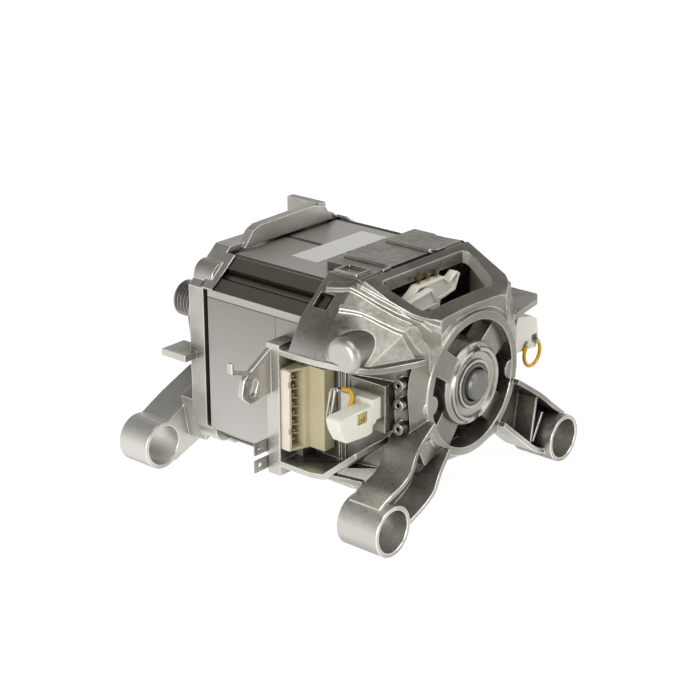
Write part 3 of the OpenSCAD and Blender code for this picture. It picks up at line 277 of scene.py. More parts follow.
def mouldedPlastic(name, look):
    material, tree, shader, place = newMaterial(name, IOR=plasticSkin["ior"])
    drift = addNode(tree, "TexNoise", {}, {"Vector": place, "Scale": every(plasticSkin["driftMm"]), "Detail": 3})
    tone = addNode(tree, "Mix", {"data_type": "RGBA"},
                   {"Factor": drift.outputs["Fac"], "A": hexColor(look["dark"]), "B": hexColor(look["pale"])})
    # painted shade: where ambient occlusion finds corners, the colour is darkened
    corner = addNode(tree, "AmbientOcclusion", {"samples": 6}, {"Distance": plasticSkin["cornerMm"] * mm})
    recessShade = addNode(tree, "MapRange", {}, {"Value": corner.outputs["AO"], "From Min": 0.15, "From Max": 0.85,
                                          "To Min": 0.8, "To Max": 0})
    recessShaded = addNode(tree, "Mix", {"data_type": "RGBA"},
                     {"Factor": recessShade.outputs["Result"], "A": tone.outputs["Result"], "B": hexColor(look["recessShade"])})
    grain = addNode(tree, "TexNoise", {}, {"Vector": place, "Scale": every(look["grainMm"]), "Detail": 2})
    gloss = addNode(tree, "MapRange", {}, {"Value": grain.outputs["Fac"], "To Min": look["rough"] - 0.06,
                                           "To Max": look["rough"] + 0.08})
    rounded = addNode(tree, "Bevel", {"samples": 4}, {"Radius": plasticSkin["edgeMm"] * mm})
    skin = addNode(tree, "Bump", {}, {"Height": grain.outputs["Fac"], "Strength": plasticSkin["bump"],
                                      "Distance": plasticSkin["bumpMm"] * mm, "Normal": rounded.outputs["Normal"]})
    tree.links.new(recessShaded.outputs["Result"], shader.inputs["Base Color"])
    tree.links.new(gloss.outputs["Result"], shader.inputs["Roughness"])
    tree.links.new(skin.outputs["Normal"], shader.inputs["Normal"])
    return material


# enamelled wire packed side by side: ridges of the turns under brown varnish
def woundWire(name, look):
    material, tree, shader, place = newMaterial(name, Metallic=0.4, Roughness=0.4, Coat_Weight=0.5,
                                                Coat_Roughness=0.2)
    turn = addNode(tree, "TexWave", {"bands_direction": look["across"]},
                   {"Vector": place, "Scale": waves(look["turnMm"]), "Distortion": 1.2, "Detail": 1})
    tone = addNode(tree, "Mix", {"data_type": "RGBA"},
                   {"Factor": turn.outputs["Fac"], "A": hexColor(look["dark"]), "B": hexColor(look["pale"])})
    wire = addNode(tree, "Bump", {}, {"Height": turn.outputs["Fac"], "Strength": 0.5, "Distance": 0.4 * mm})
    tree.links.new(tone.outputs["Result"], shader.inputs["Base Color"])
    tree.links.new(wire.outputs["Normal"], shader.inputs["Normal"])
    return material


finishes = {
    "cast_front": castAluminium("dieCastFront", {"pale": "#918d84", "dark": "#7d7970", "cornerShade": "#3a3732",
                                                 "foot": "#dddad3", "rough": 0.3, "cornerMm": 14, "shadeShare": 0.72,
                                                 "footShare": 0.5}),
    "cast_rear": castAluminium("dieCastRear", {"pale": "#b6b3ac", "dark": "#a19e97", "cornerShade": "#4d4a45",
                                               "foot": "#dcd9d2", "rough": 0.34, "cornerMm": 8, "shadeShare": 0.85,
                                               "footShare": 0.85}),
    "lamination": sheetStack("electricalSteel", {"pale": "#bcb8b2", "dark": "#aaa6a0", "cornerShade": "#34312d",
                                                 "rough": 0.34, "plate": "#bfbdb8", "plateTop": "#938f8a",
                                                 "plateTopMm": 33, "plateSeamMm": -113, "slantShade": "#635e55"}),
    "armature_steel": sheetStack("lacqueredSteel", {"pale": "#6b6966", "dark": "#4d4b49", "cornerShade": "#2a2826",
                                                    "rough": 0.45}),
    "steel": workedMetal("turnedSteel", {"pale": "#b4b2ae", "dark": "#918f8b", "rough": 0.3, "markMm": 1.2}),
    "bolt_steel": workedMetal("zincPlate", {"pale": "#7b766c", "dark": "#595449", "rough": 0.36, "markMm": 1.0}),
    "spring_steel": workedMetal("springSteel", {"pale": "#bdbcb8", "dark": "#8d8c88", "rough": 0.3, "markMm": 0.8}),
    "commutator_copper": workedMetal("turnedCopper", {"pale": "#b8784e", "dark": "#8d5433", "rough": 0.3,
                                                      "markMm": 0.8}),
    "brass": workedMetal("stampedBrass", {"pale": "#e6d8a8", "dark": "#cdb87e", "rough": 0.28, "markMm": 0.7}),
    "copper": woundWire("enamelledCopper", {"pale": "#5f3a24", "dark": "#2a1812", "across": "Y", "turnMm": 0.8}),
    "phenolic": mouldedPlastic("phenolicResin", {"pale": "#3a1f17", "dark": "#2a1510", "recessShade": "#1a0f0b",
                                                 "rough": 0.4, "grainMm": 0.8}),
    "magnet": workedMetal("sinteredFerrite", {"pale": "#807e7a", "dark": "#64625f", "rough": 0.36, "markMm": 0.9,
                                              "metallic": 0.6}),
    "liner": mouldedPlastic("polyesterFilm", {"pale": "#cfc9b2", "dark": "#b9b297", "recessShade": "#6d6450",
                                              "rough": 0.35, "grainMm": 0.8}),
    "cream_plastic": mouldedPlastic("creamPolyester", {"pale": "#d2c9a6", "dark": "#c0b68e", "recessShade": "#75694a",
                                                       "rough": 0.42, "grainMm": 0.7}),
    "white_plastic": mouldedPlastic("whitePolyester", {"pale": "#f3f1e6", "dark": "#e7e4d6", "recessShade": "#968e78",
                                                       "rough": 0.4, "grainMm": 0.7}),
    "black_plastic": mouldedPlastic("greyNylon", {"pale": "#6a6863", "dark": "#55534e", "recessShade": "#2c2b28",
                                                   "rough": 0.45, "grainMm": 0.7}),
    "carbon": mouldedPlastic("pressedCarbon", {"pale": "#232325", "dark": "#161618", "recessShade": "#0c0c0d",
                                               "rough": 0.6, "grainMm": 0.4}),
    "yellow_wire": mouldedPlastic("yellowInsulation", {"pale": "#f0bb2e", "dark": "#e2a71e", "recessShade": "#8a6410",
                                                       "rough": 0.35, "grainMm": 0.6}),
    "label_film": workedMetal("labelFoil", {"pale": "#e8e7e3", "dark": "#dcdbd7", "rough": 0.4, "markMm": 2.5,
                                            "metallic": 0.15}),
}
# bevelled corners: the castings' carry painted highlights and some rubbed wear, and painted shade where two walls meet
rubbedLitEdges = {
    "cast_front": castAluminium("rubbedLitFrontEdge", {"pale": "#c3bfb7", "dark": "#a8a49b", "cornerShade": "#2c2a27",
                                                    "foot": "#efede8", "rough": 0.28, "cornerMm": 6, "shadeShare": 0.95,
                                                    "footShare": 0.85}),
    "cast_rear": castAluminium("rubbedLitRearEdge", {"pale": "#dedbd5", "dark": "#cac7c0", "cornerShade": "#45423d",
                                                  "foot": "#efede8", "rough": 0.3, "cornerMm": 6, "shadeShare": 0.95,
                                                  "footShare": 0.85}),
}
# finishes of single pieces
ownFinishes = {
    "tinnedBrass": workedMetal("tinnedBrass", {"pale": "#c6c3bc", "dark": "#98948b", "rough": 0.26, "markMm": 0.8}),
    # painted light: a paler copy of the casting for the lit inner wall behind the window
    "paleLitCasting": workedMetal("paleLitCasting", {"pale": "#b3afa2", "dark": "#959184", "rough": 0.5, "markMm": 7,
                                               "metallic": 0.1}),
    "turnedCasting": castAluminium("turnedCasting", {"pale": "#aeaaa2", "dark": "#96928a", "cornerShade": "#3a3732",
                                                     "foot": "#dddad3", "rough": 0.26, "cornerMm": 6, "shadeShare": 0.7,
                                                     "footShare": 0.85}),
    "weldScale": workedMetal("weldScale", {"pale": "#6a645b", "dark": "#3d3831", "rough": 0.45, "markMm": 1.6,
                                           "metallic": 0.5}),
    "paleStrip": mouldedPlastic("palePolyester", {"pale": "#eee6da", "dark": "#e2d6c8", "recessShade": "#948372",
                                                  "rough": 0.4, "grainMm": 0.7}),
}
for nodeName, solid in nodes.items():
    tinned = nodeName.startswith("brush_terminal")
    solid.data.materials.clear()
    solid.data.materials.append(ownFinishes["tinnedBrass"] if tinned else finishes[slotOf[nodeName]])
print("finishes made:", len(finishes) + len(rubbedLitEdges) + len(ownFinishes))

# stage: white for the camera and for reflections, greyer overhead, and a plain level of light on the object
studio = {"floor": 4.0, "floorMiddle": -0.1, "floorGapMm": 0.1, "paper": "#f4f4f2", "worldLight": 0.75,
          "overhead": 0.2, "overheadFrom": 0.8, "glow": 1.6, "glowShare": 0.55}


# share of a surface or sky that the camera and reflections see as plain white
def seenRays(tree):
    path = addNode(tree, "LightPath")
    direct = addNode(tree, "Math", {"operation": "MAXIMUM"},
                     {0: path.outputs["Is Camera Ray"], 1: path.outputs["Is Glossy Ray"]})
    return addNode(tree, "Math", {"operation": "MAXIMUM"},
                   {0: direct.outputs["Value"], 1: path.outputs["Is Transmission Ray"]}).outputs["Value"]


bpy.ops.mesh.primitive_plane_add(size=studio["floor"],
                                 location=(0, studio["floorMiddle"], cadLow.z - studio["floorGapMm"] * mm))
floor = bpy.context.object
floor.name = "studioFloor"
sweep = bpy.data.materials.new("whiteSweep")
sweep.use_nodes = True
tree = sweep.node_tree
tree.nodes.remove(tree.nodes["Principled BSDF"])
share = addNode(tree, "Math", {"operation": "MULTIPLY"}, {0: seenRays(tree), 1: studio["glowShare"]})
paper = addNode(tree, "BsdfDiffuse", {}, {"Color": hexColor(studio["paper"])})
glow = addNode(tree, "Emission", {}, {"Color": (1, 1, 1, 1), "Strength": studio["glow"]})
mixed = addNode(tree, "MixShader", {},
                {0: share.outputs["Value"], 1: paper.outputs["BSDF"], 2: glow.outputs["Emission"]})
tree.links.new(mixed.outputs["Shader"], tree.nodes["Material Output"].inputs["Surface"])
floor.data.materials.append(sweep)

world = bpy.data.worlds.new("whiteStudio")
bpy.context.scene.world = world
world.use_nodes = True
tree = world.node_tree
sky = addNode(tree, "SeparateXYZ", {}, {"Vector": addNode(tree, "TexCoord").outputs["Generated"]})
fall = addNode(tree, "MapRange", {}, {"Value": sky.outputs["Z"], "From Max": studio["overheadFrom"],
                                      "To Min": 1, "To Max": studio["overhead"]})
level = addNode(tree, "MapRange", {}, {"Value": seenRays(tree), "To Min": studio["worldLight"], "To Max": 1})
lit = addNode(tree, "Math", {"operation": "MULTIPLY"}, {0: fall.outputs["Result"], 1: level.outputs["Result"]})
strength = addNode(tree, "Math", {"operation": "MAXIMUM"},
                   {0: lit.outputs["Value"], 1: addNode(tree, "LightPath").outputs["Is Camera Ray"]})
tree.links.new(strength.outputs["Value"], tree.nodes["Background"].inputs["Strength"])
tree.nodes["Background"].inputs["Color"].default_value = (1, 1, 1, 1)

lamps = {
    "keyLamp": {"place": (-1.2, -0.35, 0.35), "size": 0.6, "power": 7},
    "fillLamp": {"place": (0.25, -1.3, 0.4), "size": 0.8, "power": 3.2},
    "topLamp": {"place": (-0.15, -0.5, 1.1), "size": 0.8, "power": 5},
}
for name, lamp in lamps.items():
    bpy.ops.object.light_add(type="AREA", location=lamp["place"])
    light = bpy.context.object
    light.name = name
    light.data.energy = lamp["power"]
    light.data.size = lamp["size"]
    light.rotation_euler = aimFrom(lamp["place"])
print("stage and lamps set")


# only this piece is active and selected
def takeUp(piece):
    if bpy.context.object and bpy.context.object.mode == "EDIT":
        bpy.ops.object.mode_set(mode="OBJECT")
    bpy.ops.object.select_all(action="DESELECT")
    piece.select_set(True)
    bpy.context.view_layer.objects.active = piece


# values that the pieces share: when points merge, when they count as at a place, when faces are flat or look one way,
# and how finely corners and wires are rounded and shaded
meshing = {"mergeMm": 0.002, "nearMm": 0.1, "flatDegrees": 0.6, "facing": -0.9, "bevelSegments": 2, "wireSteps": 3,
           "smoothDegrees": 40}


# a copy of a solid's mesh with its loose triangles merged
def copyOf(nodeName, pieceName):
    piece = bpy.data.objects.new(pieceName, nodes[nodeName].data.copy())
    bpy.context.scene.collection.objects.link(piece)
    takeUp(piece)
    bpy.ops.object.mode_set(mode="EDIT")
    bpy.ops.mesh.select_all(action="SELECT")
    bpy.ops.mesh.remove_doubles(threshold=meshing["mergeMm"] * mm)
    bpy.ops.object.mode_set(mode="OBJECT")
    return piece


# nothing of the piece is selected, and only points or only faces can be
def pickNone(piece, points):
    takeUp(piece)
    bpy.context.tool_settings.mesh_select_mode = (points, False, not points)
    bpy.ops.object.mode_set(mode="EDIT")
    bpy.ops.mesh.select_all(action="DESELECT")
    bpy.ops.object.mode_set(mode="OBJECT")


# faces chosen by their middle in millimetres and their normal, ready in edit mode
def pickFaces(piece, wanted):
    pickNone(piece, False)
    for face in piece.data.polygons:
        face.select = bool(wanted(face.center / mm, face.normal))
    bpy.ops.object.mode_set(mode="EDIT")


# points chosen by their place in millimetres, ready in edit mode
def pickPoints(piece, wanted):
    pickNone(piece, True)
    for vertex in piece.data.vertices:
        vertex.select = bool(wanted(vertex.co / mm))
    bpy.ops.object.mode_set(mode="EDIT")


# whether a face looks to the front
def facesFront(at, normal):
    return normal.y < meshing["facing"]


# corners of a small moulding or stamping taken off
def softenEdges(piece, edgeMm, segments=meshing["bevelSegments"]):
    takeUp(piece)
    soft = piece.modifiers.new("softEdges", "BEVEL")
    soft.width = edgeMm * mm
    soft.segments = segments
    bpy.ops.object.modifier_apply(modifier="softEdges")


# the chosen faces get a rim, and the part within it is pushed back
def rimAndPocket(rimMm, pocketMm):
    bpy.ops.mesh.inset(thickness=rimMm * mm, depth=0)
    bpy.ops.mesh.extrude_region_move(TRANSFORM_OT_translate={"value": (0, pocketMm * mm, 0)})
    bpy.ops.object.mode_set(mode="OBJECT")


# flat faces made whole, corners rounded, and the shading kept sharp past the angle
def roundOff(piece, edgeMm, angle, strips=None, whole=True):
    takeUp(piece)
    if whole:
        bpy.ops.object.mode_set(mode="EDIT")
        bpy.ops.mesh.select_all(action="SELECT")
        bpy.ops.mesh.dissolve_limited(angle_limit=math.radians(meshing["flatDegrees"]))
        bpy.ops.object.mode_set(mode="OBJECT")
    bevel = piece.modifiers.new("roundEdges", "BEVEL")
    bevel.width = edgeMm * mm
    bevel.segments = meshing["bevelSegments"]
    bevel.limit_method = "ANGLE"
    bevel.angle_limit = math.radians(angle)
    bevel.use_clamp_overlap = False
    # the bevel strips take the edge finish: painted highlights with some rubbed wear
    if strips:
        piece.data.materials.append(strips)
        bevel.material = 1  # the slot just added
    bpy.ops.object.modifier_apply(modifier="roundEdges")
    bpy.ops.object.shade_smooth_by_angle(angle=math.radians(angle))
    weigh = piece.modifiers.new("flatFaces", "WEIGHTED_NORMAL")
    weigh.keep_sharp = True
    bpy.ops.object.modifier_apply(modifier="flatFaces")


# a box between two corners in millimetres, the start of a piece
def rawBlock(lowMm, highMm):
    bpy.ops.object.select_all(action="DESELECT")
    bpy.ops.mesh.primitive_cube_add(size=1, location=[(a + b) / 2 * mm for a, b in zip(lowMm, highMm)])
    piece = bpy.context.object
    piece.scale = [(b - a) * mm for a, b in zip(lowMm, highMm)]
    bpy.ops.object.transform_apply(location=True, rotation=True, scale=True)
    return piece


# the cutter's form is taken out of the piece
def cutAway(piece, cutter):
    takeUp(piece)
    cut = piece.modifiers.new("cutAway", "BOOLEAN")
    cut.operation = "DIFFERENCE"
    cut.solver = "EXACT"
    cut.object = cutter
    bpy.ops.object.modifier_apply(modifier="cutAway")
    bpy.data.objects.remove(cutter)


# copies of a piece at these places in millimetres, joined to it
def repeatAt(piece, placesMm):
    copies = []
    for placeMm in placesMm:
        copy = piece.copy()
        copy.data = piece.data.copy()
        copy.location = Vector(placeMm) * mm
        bpy.context.scene.collection.objects.link(copy)
        copies.append(copy)
    takeUp(piece)
    for copy in copies:
        copy.select_set(True)
    bpy.ops.object.join()


# round wire bent through these points in millimetres
def bentWire(pointsMm, wireMm, closed):
    bend = bpy.data.curves.new("wireBend", "CURVE")
    bend.dimensions = "3D"
    bend.bevel_depth = wireMm * mm
    bend.bevel_resolution = meshing["wireSteps"]
    bend.use_fill_caps = True
    run = bend.splines.new("NURBS")
    run.points.add(len(pointsMm) - 1)
    for point, placeMm in zip(run.points, pointsMm):
        point.co = [value * mm for value in placeMm] + [1]
    run.use_cyclic_u = closed
    run.use_endpoint_u = not closed
    run.order_u = 3  # passes near its points in even bends
    run.resolution_u = meshing["wireSteps"]
    wire = bpy.data.objects.new("wireBend", bend)
    bpy.context.scene.collection.objects.link(wire)
    takeUp(wire)
    bpy.ops.object.convert(target="MESH")
    bpy.ops.object.shade_smooth()
    return bpy.context.object


# a new piece is named, faced outwards, finished and set on the housing
def settle(piece, name, finish):
    takeUp(piece)
    bpy.ops.object.transform_apply(location=True, rotation=True, scale=True)
    bpy.ops.object.mode_set(mode="EDIT")
    bpy.ops.mesh.select_all(action="SELECT")
    bpy.ops.mesh.normals_make_consistent(inside=False)
    bpy.ops.object.mode_set(mode="OBJECT")
    piece.name = name
    piece.data.materials.clear()
    piece.data.materials.append(finish)
    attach(piece, "housing")


# the piece stands for these solids, on their body and with their finish
def standFor(piece, *nodeNames):
    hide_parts(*nodeNames)
    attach(piece, nodes[nodeNames[0]]["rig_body"])


# front shield: one die casting, packed as solids set face to face, so the faces between them go
frontShield = {"parts": ["front_shield", "front_ring", "front_leg_left", "front_leg_right", "side_box", "bay_roof"],
               "inner": ["front_spokes", "front_hub"], "touchMm": 0.06, "weldMm": 0.03,
               "edgeMm": 0.4, "angle": 24, "spokeIn": 22, "spokeOut": 31, "sinkMm": 0.8}


# whether a face lies on this other skin and looks into it
def meets(skin, at, normal):
    spot, facing, index, distance = skin.find_nearest(at * mm, frontShield["touchMm"] * mm)
    return spot is not None and facing.dot(normal) < meshing["facing"]


copies = {name: copyOf(name, name + "Copy") for name in frontShield["parts"]}
skins = {name: BVHTree.FromPolygons([v.co for v in copy.data.vertices], [f.vertices for f in copy.data.polygons])
         for name, copy in copies.items()}
for name, copy in copies.items():
    others = [skin for key, skin in skins.items() if key != name]
    pickFaces(copy, lambda at, normal: any(meets(skin, at, normal) for skin in others))
    bpy.ops.mesh.delete(type="FACE")
    bpy.ops.object.mode_set(mode="OBJECT")
casting = copies["front_shield"]
takeUp(casting)
for copy in copies.values():
    copy.select_set(True)
bpy.ops.object.join()
casting.name = "frontShieldCasting"
bpy.ops.object.mode_set(mode="EDIT")
bpy.ops.mesh.select_all(action="SELECT")
bpy.ops.mesh.remove_doubles(threshold=frontShield["weldMm"] * mm)
bpy.ops.object.mode_set(mode="OBJECT")
roundOff(casting, frontShield["edgeMm"], frontShield["angle"], rubbedLitEdges["cast_front"])

# spokes run a little way into the hub and the ring, so that no joint line shows
spokes = copyOf("front_spokes", "spokesCopy")
for vertex in spokes.data.vertices:
    reach = Vector((vertex.co.x, 0, vertex.co.z))
    if reach.length < frontShield["spokeIn"] * mm:
        vertex.co -= reach.normalized() * frontShield["sinkMm"] * mm
    if reach.length > frontShield["spokeOut"] * mm:
        vertex.co += reach.normalized() * frontShield["sinkMm"] * mm
roundOff(spokes, frontShield["edgeMm"], frontShield["angle"], rubbedLitEdges["cast_front"])

# hub: turned from its profile of radius and depth, with a rim, a hollow and an inner ring; a notch at top and bottom
turnedHub = {"profileMm": [(16.05, -174), (21, -174), (21, -185.2), (20.6, -186.4), (19.4, -187.2), (18.6, -187.8),
                           (18.2, -189.2), (16.8, -189.2), (15.9, -187.4), (14.6, -186.9), (12.9, -186.7),
                           (12.3, -187), (12.1, -188.5), (10.7, -188.5), (10.5, -186), (16.05, -186)],
             "steps": 96, "mergeMm": 0.01, "notchLow": (-3, -192, 16.5), "notchHigh": (3, -186.7, 21.5),
             "edgeMm": 0.3, "angle": 30}
bpy.ops.object.select_all(action="DESELECT")
bpy.ops.mesh.primitive_plane_add(size=mm)
hub = bpy.context.object
bpy.context.tool_settings.mesh_select_mode = (True, False, False)
bpy.ops.object.mode_set(mode="EDIT")
bpy.ops.mesh.select_all(action="SELECT")
bpy.ops.mesh.merge(type="CENTER")
profile = turnedHub["profileMm"] + turnedHub["profileMm"][:1]
bpy.ops.transform.translate(value=(0, profile[0][1] * mm, profile[0][0] * mm))
for (fromRadius, fromDepth), (radius, depth) in zip(profile, profile[1:]):
    along = (0, (depth - fromDepth) * mm, (radius - fromRadius) * mm)
    bpy.ops.mesh.extrude_vertices_move(TRANSFORM_OT_translate={"value": along})
bpy.ops.mesh.select_all(action="SELECT")
bpy.ops.mesh.spin(steps=turnedHub["steps"], angle=2 * math.pi, center=(0, 0, 0), axis=(0, 1, 0))
bpy.ops.mesh.select_all(action="SELECT")
bpy.ops.mesh.remove_doubles(threshold=turnedHub["mergeMm"] * mm)
bpy.ops.mesh.normals_make_consistent(inside=False)
bpy.ops.object.mode_set(mode="OBJECT")
hub.data.materials.append(ownFinishes["turnedCasting"])
low, high = turnedHub["notchLow"], turnedHub["notchHigh"]
cutAway(hub, rawBlock(low, high))
cutAway(hub, rawBlock((low[0], low[1], -high[2]), (high[0], high[1], -low[2])))
roundOff(hub, turnedHub["edgeMm"], turnedHub["angle"], rubbedLitEdges["cast_front"], whole=False)
takeUp(casting)
spokes.select_set(True)
hub.select_set(True)
bpy.ops.object.join()

# the right inner wall behind the window catches some light, which is painted on as a paler finish; its faces look
# towards the shaft
litInnerWall = {"alongMm": (-181, -150), "acrossMm": (-5, 60), "aboveMm": 4, "inward": -0.2}
casting.data.materials.append(ownFinishes["paleLitCasting"])
pickFaces(casting, lambda at, normal: litInnerWall["alongMm"][0] < at.y < litInnerWall["alongMm"][1]
          and at.z > litInnerWall["aboveMm"] and litInnerWall["acrossMm"][0] < at.x < litInnerWall["acrossMm"][1]
          and normal.x * at.x + normal.z * at.z < litInnerWall["inward"] * math.hypot(at.x, at.z))
casting.active_material_index = len(casting.data.materials) - 1
bpy.ops.object.material_slot_assign()
bpy.ops.object.mode_set(mode="OBJECT")
standFor(casting, *frontShield["parts"], *frontShield["inner"])
print("front casting joined:", len(casting.data.polygons), "faces")

# other castings and mouldings: cut where the photograph shows less, then rounded
rounded = {
    "rearShieldCasting": {"node": "rear_shield", "edgeMm": 0.4, "angle": 24, "strips": rubbedLitEdges["cast_rear"]},
    "terminalBlock": {"node": "terminal_block", "edgeMm": 0.3, "angle": 30},
    "leftBrushHolder": {"node": "brush_holder_left", "edgeMm": 0.3, "angle": 40, "whole": False,
                        "cuts": [((-79, -174, 2.6), (-57.6, -163.2, 14)), ((-68, -174, -4.2), (-61, -169.4, 1.2))]},
    "coilCarrier": {"node": "brush_bridge", "edgeMm": 0.3, "angle": 30, "rimMm": 1.3, "pocketMm": 1.6, "aboveMm": 24},
}
for name, piece in rounded.items():
    copy = copyOf(piece["node"], name)
    for low, high in piece.get("cuts", []):
        cutAway(copy, rawBlock(low, high))
    if "rimMm" in piece:
        front = min(v.co.y for v in copy.data.vertices) / mm + meshing["nearMm"]
        pickFaces(copy, lambda at, normal: facesFront(at, normal) and at.y < front and at.z > piece["aboveMm"])
        rimAndPocket(piece["rimMm"], piece["pocketMm"])
    roundOff(copy, piece["edgeMm"], piece["angle"], piece.get("strips"), piece.get("whole", True))
    standFor(copy, piece["node"])
print("castings and mouldings rounded:", len(rounded))

# earth tabs: a hole near the end of each
earthTabs = {"node": "earth_tabs", "holesMm": [(-76.4, -117.5, -28), (-76.4, -117.5, -37)], "holeMm": 2.4,
             "drillMm": 6, "drillSides": 24, "edgeMm": 0.15, "angle": 40}
tabs = copyOf(earthTabs["node"], "earthTabPair")
for holeMm in earthTabs["holesMm"]:
    bpy.ops.object.select_all(action="DESELECT")
    bpy.ops.mesh.primitive_cylinder_add(vertices=earthTabs["drillSides"], radius=earthTabs["holeMm"] / 2 * mm,
                                        depth=earthTabs["drillMm"] * mm, location=Vector(holeMm) * mm,
                                        rotation=(math.pi / 2, 0, 0))
    cutAway(tabs, bpy.context.object)
roundOff(tabs, earthTabs["edgeMm"], earthTabs["angle"], whole=False)
standFor(tabs, earthTabs["node"])
print("earth tabs drilled")

# weld beads: rippled seams that lie in the grooves along the stack
weldBeads = {"acrossMm": [-40, 0, 40], "deepMm": 49.0, "radiusMm": 1.05, "sides": 10, "wanderMm": 0.35,
             "wanderTurn": 1.9, "frontMm": -129, "stepMm": 1.5, "steps": 40, "ripple": 0.8}
bpy.ops.object.select_all(action="DESELECT")
bpy.ops.mesh.primitive_circle_add(vertices=weldBeads["sides"], radius=weldBeads["radiusMm"] * mm, fill_type="NGON",
                                  location=(0, weldBeads["frontMm"] * mm, 0), rotation=(math.pi / 2, 0, 0))
bead = bpy.context.object
bpy.ops.object.mode_set(mode="EDIT")
bpy.ops.mesh.select_all(action="SELECT")
for step in range(weldBeads["steps"]):
    aside = weldBeads["wanderMm"] * mm * math.sin(step * weldBeads["wanderTurn"]) * (-1) ** (step // 3)
    bpy.ops.mesh.extrude_region_move(TRANSFORM_OT_translate={"value": (aside, weldBeads["stepMm"] * mm, 0)})
    swell = weldBeads["ripple"] if step % 2 == 0 else 1 / weldBeads["ripple"]
    bpy.ops.transform.resize(value=(swell, 1, swell))
bpy.ops.object.mode_set(mode="OBJECT")
bpy.ops.object.transform_apply(location=True, rotation=True, scale=True)
bpy.ops.object.shade_smooth()
seams = [(x, 0, z) for x in weldBeads["acrossMm"] for z in (weldBeads["deepMm"], -weldBeads["deepMm"])]
bead.location = Vector(seams[0]) * mm
repeatAt(bead, seams[1:])
settle(bead, "weldBeads", ownFinishes["weldScale"])
print("weld beads laid")

# socket comb: notched dividers between the pins of the terminal block
socketComb = {"low": (-67.4, -129.3, -0.45), "high": (-61.1, -122.9, 0.45), "midMm": -64.25, "notchMm": 2.4,
              "firstMm": -21.8, "pitchMm": 4.6, "count": 7, "roundMm": 0.15}
comb = rawBlock(socketComb["low"], socketComb["high"])
bpy.ops.object.mode_set(mode="EDIT")
bpy.ops.mesh.select_all(action="SELECT")
bpy.ops.mesh.bisect(plane_co=(socketComb["midMm"] * mm, 0, 0), plane_no=(1, 0, 0))
pickPoints(comb, lambda at: abs(at.x - socketComb["midMm"]) < meshing["nearMm"]
           and at.y < socketComb["low"][1] + meshing["nearMm"])
bpy.ops.transform.translate(value=(0, socketComb["notchMm"] * mm, 0))
bpy.ops.object.mode_set(mode="OBJECT")
softenEdges(comb, socketComb["roundMm"])
rows = [socketComb["firstMm"] + i * socketComb["pitchMm"] for i in range(socketComb["count"])]
comb.location = (0, 0, rows[0] * mm)
repeatAt(comb, [(0, 0, z) for z in rows[1:]])
settle(comb, "socketComb", finishes["cream_plastic"])

# pale keying strip on the block's left edge, its front rounded and two notches in it
keyStrip = {"low": (-69.7, -131.2, -28.4), "high": (-67.8, -123, 12.4), "roundMm": 0.35, "roundSteps": 3,
            "notches": [((-71, -132, -20), (-67, -130.3, -17)), ((-71, -132, 4), (-67, -130.3, 7))]}
strip = rawBlock(keyStrip["low"], keyStrip["high"])
for low, high in keyStrip["notches"]:
    cutAway(strip, rawBlock(low, high))
softenEdges(strip, keyStrip["roundMm"], keyStrip["roundSteps"])
bpy.ops.object.shade_smooth_by_angle(angle=math.radians(meshing["smoothDegrees"]))
settle(strip, "keyStrip", ownFinishes["paleStrip"])

# latch noses on the socket's right wall
latchNoses = {"low": (-61, -131.4, 0), "high": (-57.6, -129.9, 4), "firstMm": 5, "otherMm": [-8.5, -22],
              "tip": (0.6, 1, 0.7), "roundMm": 0.25}
nose = rawBlock(latchNoses["low"], latchNoses["high"])
pickFaces(nose, facesFront)
bpy.ops.transform.resize(value=latchNoses["tip"])
bpy.ops.object.mode_set(mode="OBJECT")
softenEdges(nose, latchNoses["roundMm"])
nose.location = (0, 0, latchNoses["firstMm"] * mm)
repeatAt(nose, [(0, 0, z) for z in latchNoses["otherMm"]])
settle(nose, "latchNoses", finishes["cream_plastic"])
print("terminal block dressed")

# contact in the slot of the left head: a folded brass box, open to the front
headContact = {"low": (-67.6, -171.7, -3.8), "high": (-61.4, -169.35, 0.8), "wallMm": 0.5, "deepMm": 1.6,
               "roundMm": 0.12}
contact = rawBlock(headContact["low"], headContact["high"])
pickFaces(contact, facesFront)
rimAndPocket(headContact["wallMm"], headContact["deepMm"])
softenEdges(contact, headContact["roundMm"])
settle(contact, "headContact", finishes["brass"])
print("brush head dressed")

# cradle on the front of the coil carrier: a slanted tray with a rim
carrierCradle = {"low": (-25, -164, 33.7), "high": (3.4, -159.9, 43.6), "roundMm": 0.4, "rimMm": 1.4, "trayMm": 1.2,
                 "shiftMm": {(-25, 33.7): (11.8, 0), (-25, 43.6): (0, -3), (3.4, 33.7): (0, 0.6), (3.4, 43.6): (-6, 0)}}
cradle = rawBlock(carrierCradle["low"], carrierCradle["high"])
for (x, z), (alongMm, upMm) in carrierCradle["shiftMm"].items():
    pickPoints(cradle, lambda at: abs(at.x - x) < meshing["nearMm"] and abs(at.z - z) < meshing["nearMm"])
    bpy.ops.transform.translate(value=(alongMm * mm, 0, upMm * mm))
    bpy.ops.object.mode_set(mode="OBJECT")
pickFaces(cradle, facesFront)
rimAndPocket(carrierCradle["rimMm"], carrierCradle["trayMm"])
softenEdges(cradle, carrierCradle["roundMm"])
bpy.ops.object.shade_smooth_by_angle(angle=math.radians(meshing["smoothDegrees"]))
settle(cradle, "carrierCradle", finishes["white_plastic"])

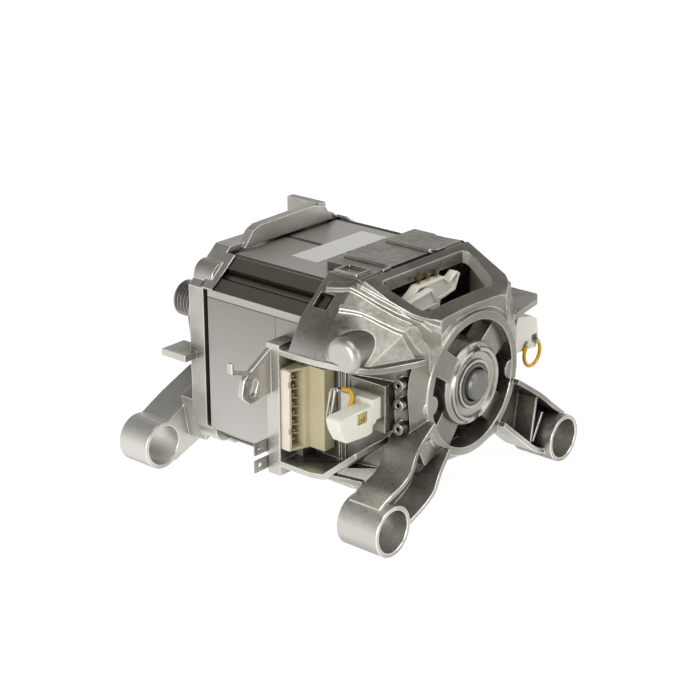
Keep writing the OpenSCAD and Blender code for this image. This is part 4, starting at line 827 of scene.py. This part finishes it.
# lead sleeves: crimped ferrules over the four ends of the brush leads
leadSleeves = {"radiusMm": 1.25, "longMm": 2.8, "overMm": 0.3, "waist": 0.86, "sides": 20, "roundMm": 0.2,
               "endsMm": [((-73.55, -162.55, 0.19), (-0.97, 0, 0.24)), ((-70.55, -162.55, 12.23), (-0.97, 0, 0.24)),
                          ((65.5, -173.35, -2.64), (0.77, 0, 0.64)), ((74.5, -173.35, -2.64), (-0.77, 0, 0.64))]}
sleeves = []
for endMm, along in leadSleeves["endsMm"]:
    bpy.ops.object.select_all(action="DESELECT")
    bpy.ops.mesh.primitive_cylinder_add(vertices=leadSleeves["sides"], radius=leadSleeves["radiusMm"] * mm,
                                        depth=leadSleeves["longMm"] * mm)
    sleeve = bpy.context.object
    bpy.ops.object.mode_set(mode="EDIT")
    bpy.ops.mesh.select_all(action="SELECT")
    bpy.ops.mesh.bisect(plane_co=(0, 0, 0), plane_no=(0, 0, 1))
    bpy.ops.transform.resize(value=(leadSleeves["waist"], leadSleeves["waist"], 1))
    bpy.ops.object.mode_set(mode="OBJECT")
    softenEdges(sleeve, leadSleeves["roundMm"])
    bpy.ops.object.shade_smooth_by_angle(angle=math.radians(meshing["smoothDegrees"]))
    sleeve.rotation_euler = Vector(along).to_track_quat("Z", "Y").to_euler()
    sleeve.location = (Vector(endMm) + Vector(along) * leadSleeves["overMm"]) * mm
    bpy.ops.object.transform_apply(location=True, rotation=True, scale=True)
    sleeves.append(sleeve)
takeUp(sleeves[0])
for sleeve in sleeves:
    sleeve.select_set(True)
bpy.ops.object.join()
settle(sleeves[0], "leadSleeves", ownFinishes["tinnedBrass"])

# wire clip: a bent frame that holds the left lead's sleeves and hooks behind the head
wireClip = {"wireMm": 0.6,
            "pointsMm": [(-75, -163.2, -4.6), (-75.7, -162.4, -2.6), (-75.6, -162.4, 0.7), (-73.9, -162.4, 8),
                         (-72.8, -162.4, 12.4), (-72.4, -161.2, 13.4), (-72.8, -160, 12.2), (-73.9, -160, 8),
                         (-75.6, -160, 0.7), (-75.7, -160.2, -2.6), (-75, -161.6, -4.6)]}
clip = bentWire(wireClip["pointsMm"], wireClip["wireMm"], True)
settle(clip, "wireClip", ownFinishes["tinnedBrass"])
print("carrier and leads dressed")

# brush springs: coils of round wire
brushSprings = {"frontMm": 47.8, "backMm": 56.9, "brushMm": -163, "radiusMm": 1.75, "wireMm": 0.32, "turns": 6,
                "perTurn": 14, "keep": 0.33}
for side, reach in (("left", -1), ("right", 1)):
    count = brushSprings["turns"] * brushSprings["perTurn"]
    longMm = brushSprings["backMm"] - brushSprings["frontMm"] - 2 * brushSprings["wireMm"]
    coilMm = []
    for i in range(count + 1):
        angle = 2 * math.pi * i / brushSprings["perTurn"]
        coilMm.append((reach * (brushSprings["frontMm"] + brushSprings["wireMm"] + longMm * i / count),
                       brushSprings["brushMm"] + brushSprings["radiusMm"] * math.cos(angle),
                       brushSprings["radiusMm"] * math.sin(angle)))
    spring = bentWire(coilMm, brushSprings["wireMm"], False)
    settle(spring, side + "BrushSpring", finishes["spring_steel"])
    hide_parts("brush_spring_" + side)
    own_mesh(spring)
print("brush springs coiled")
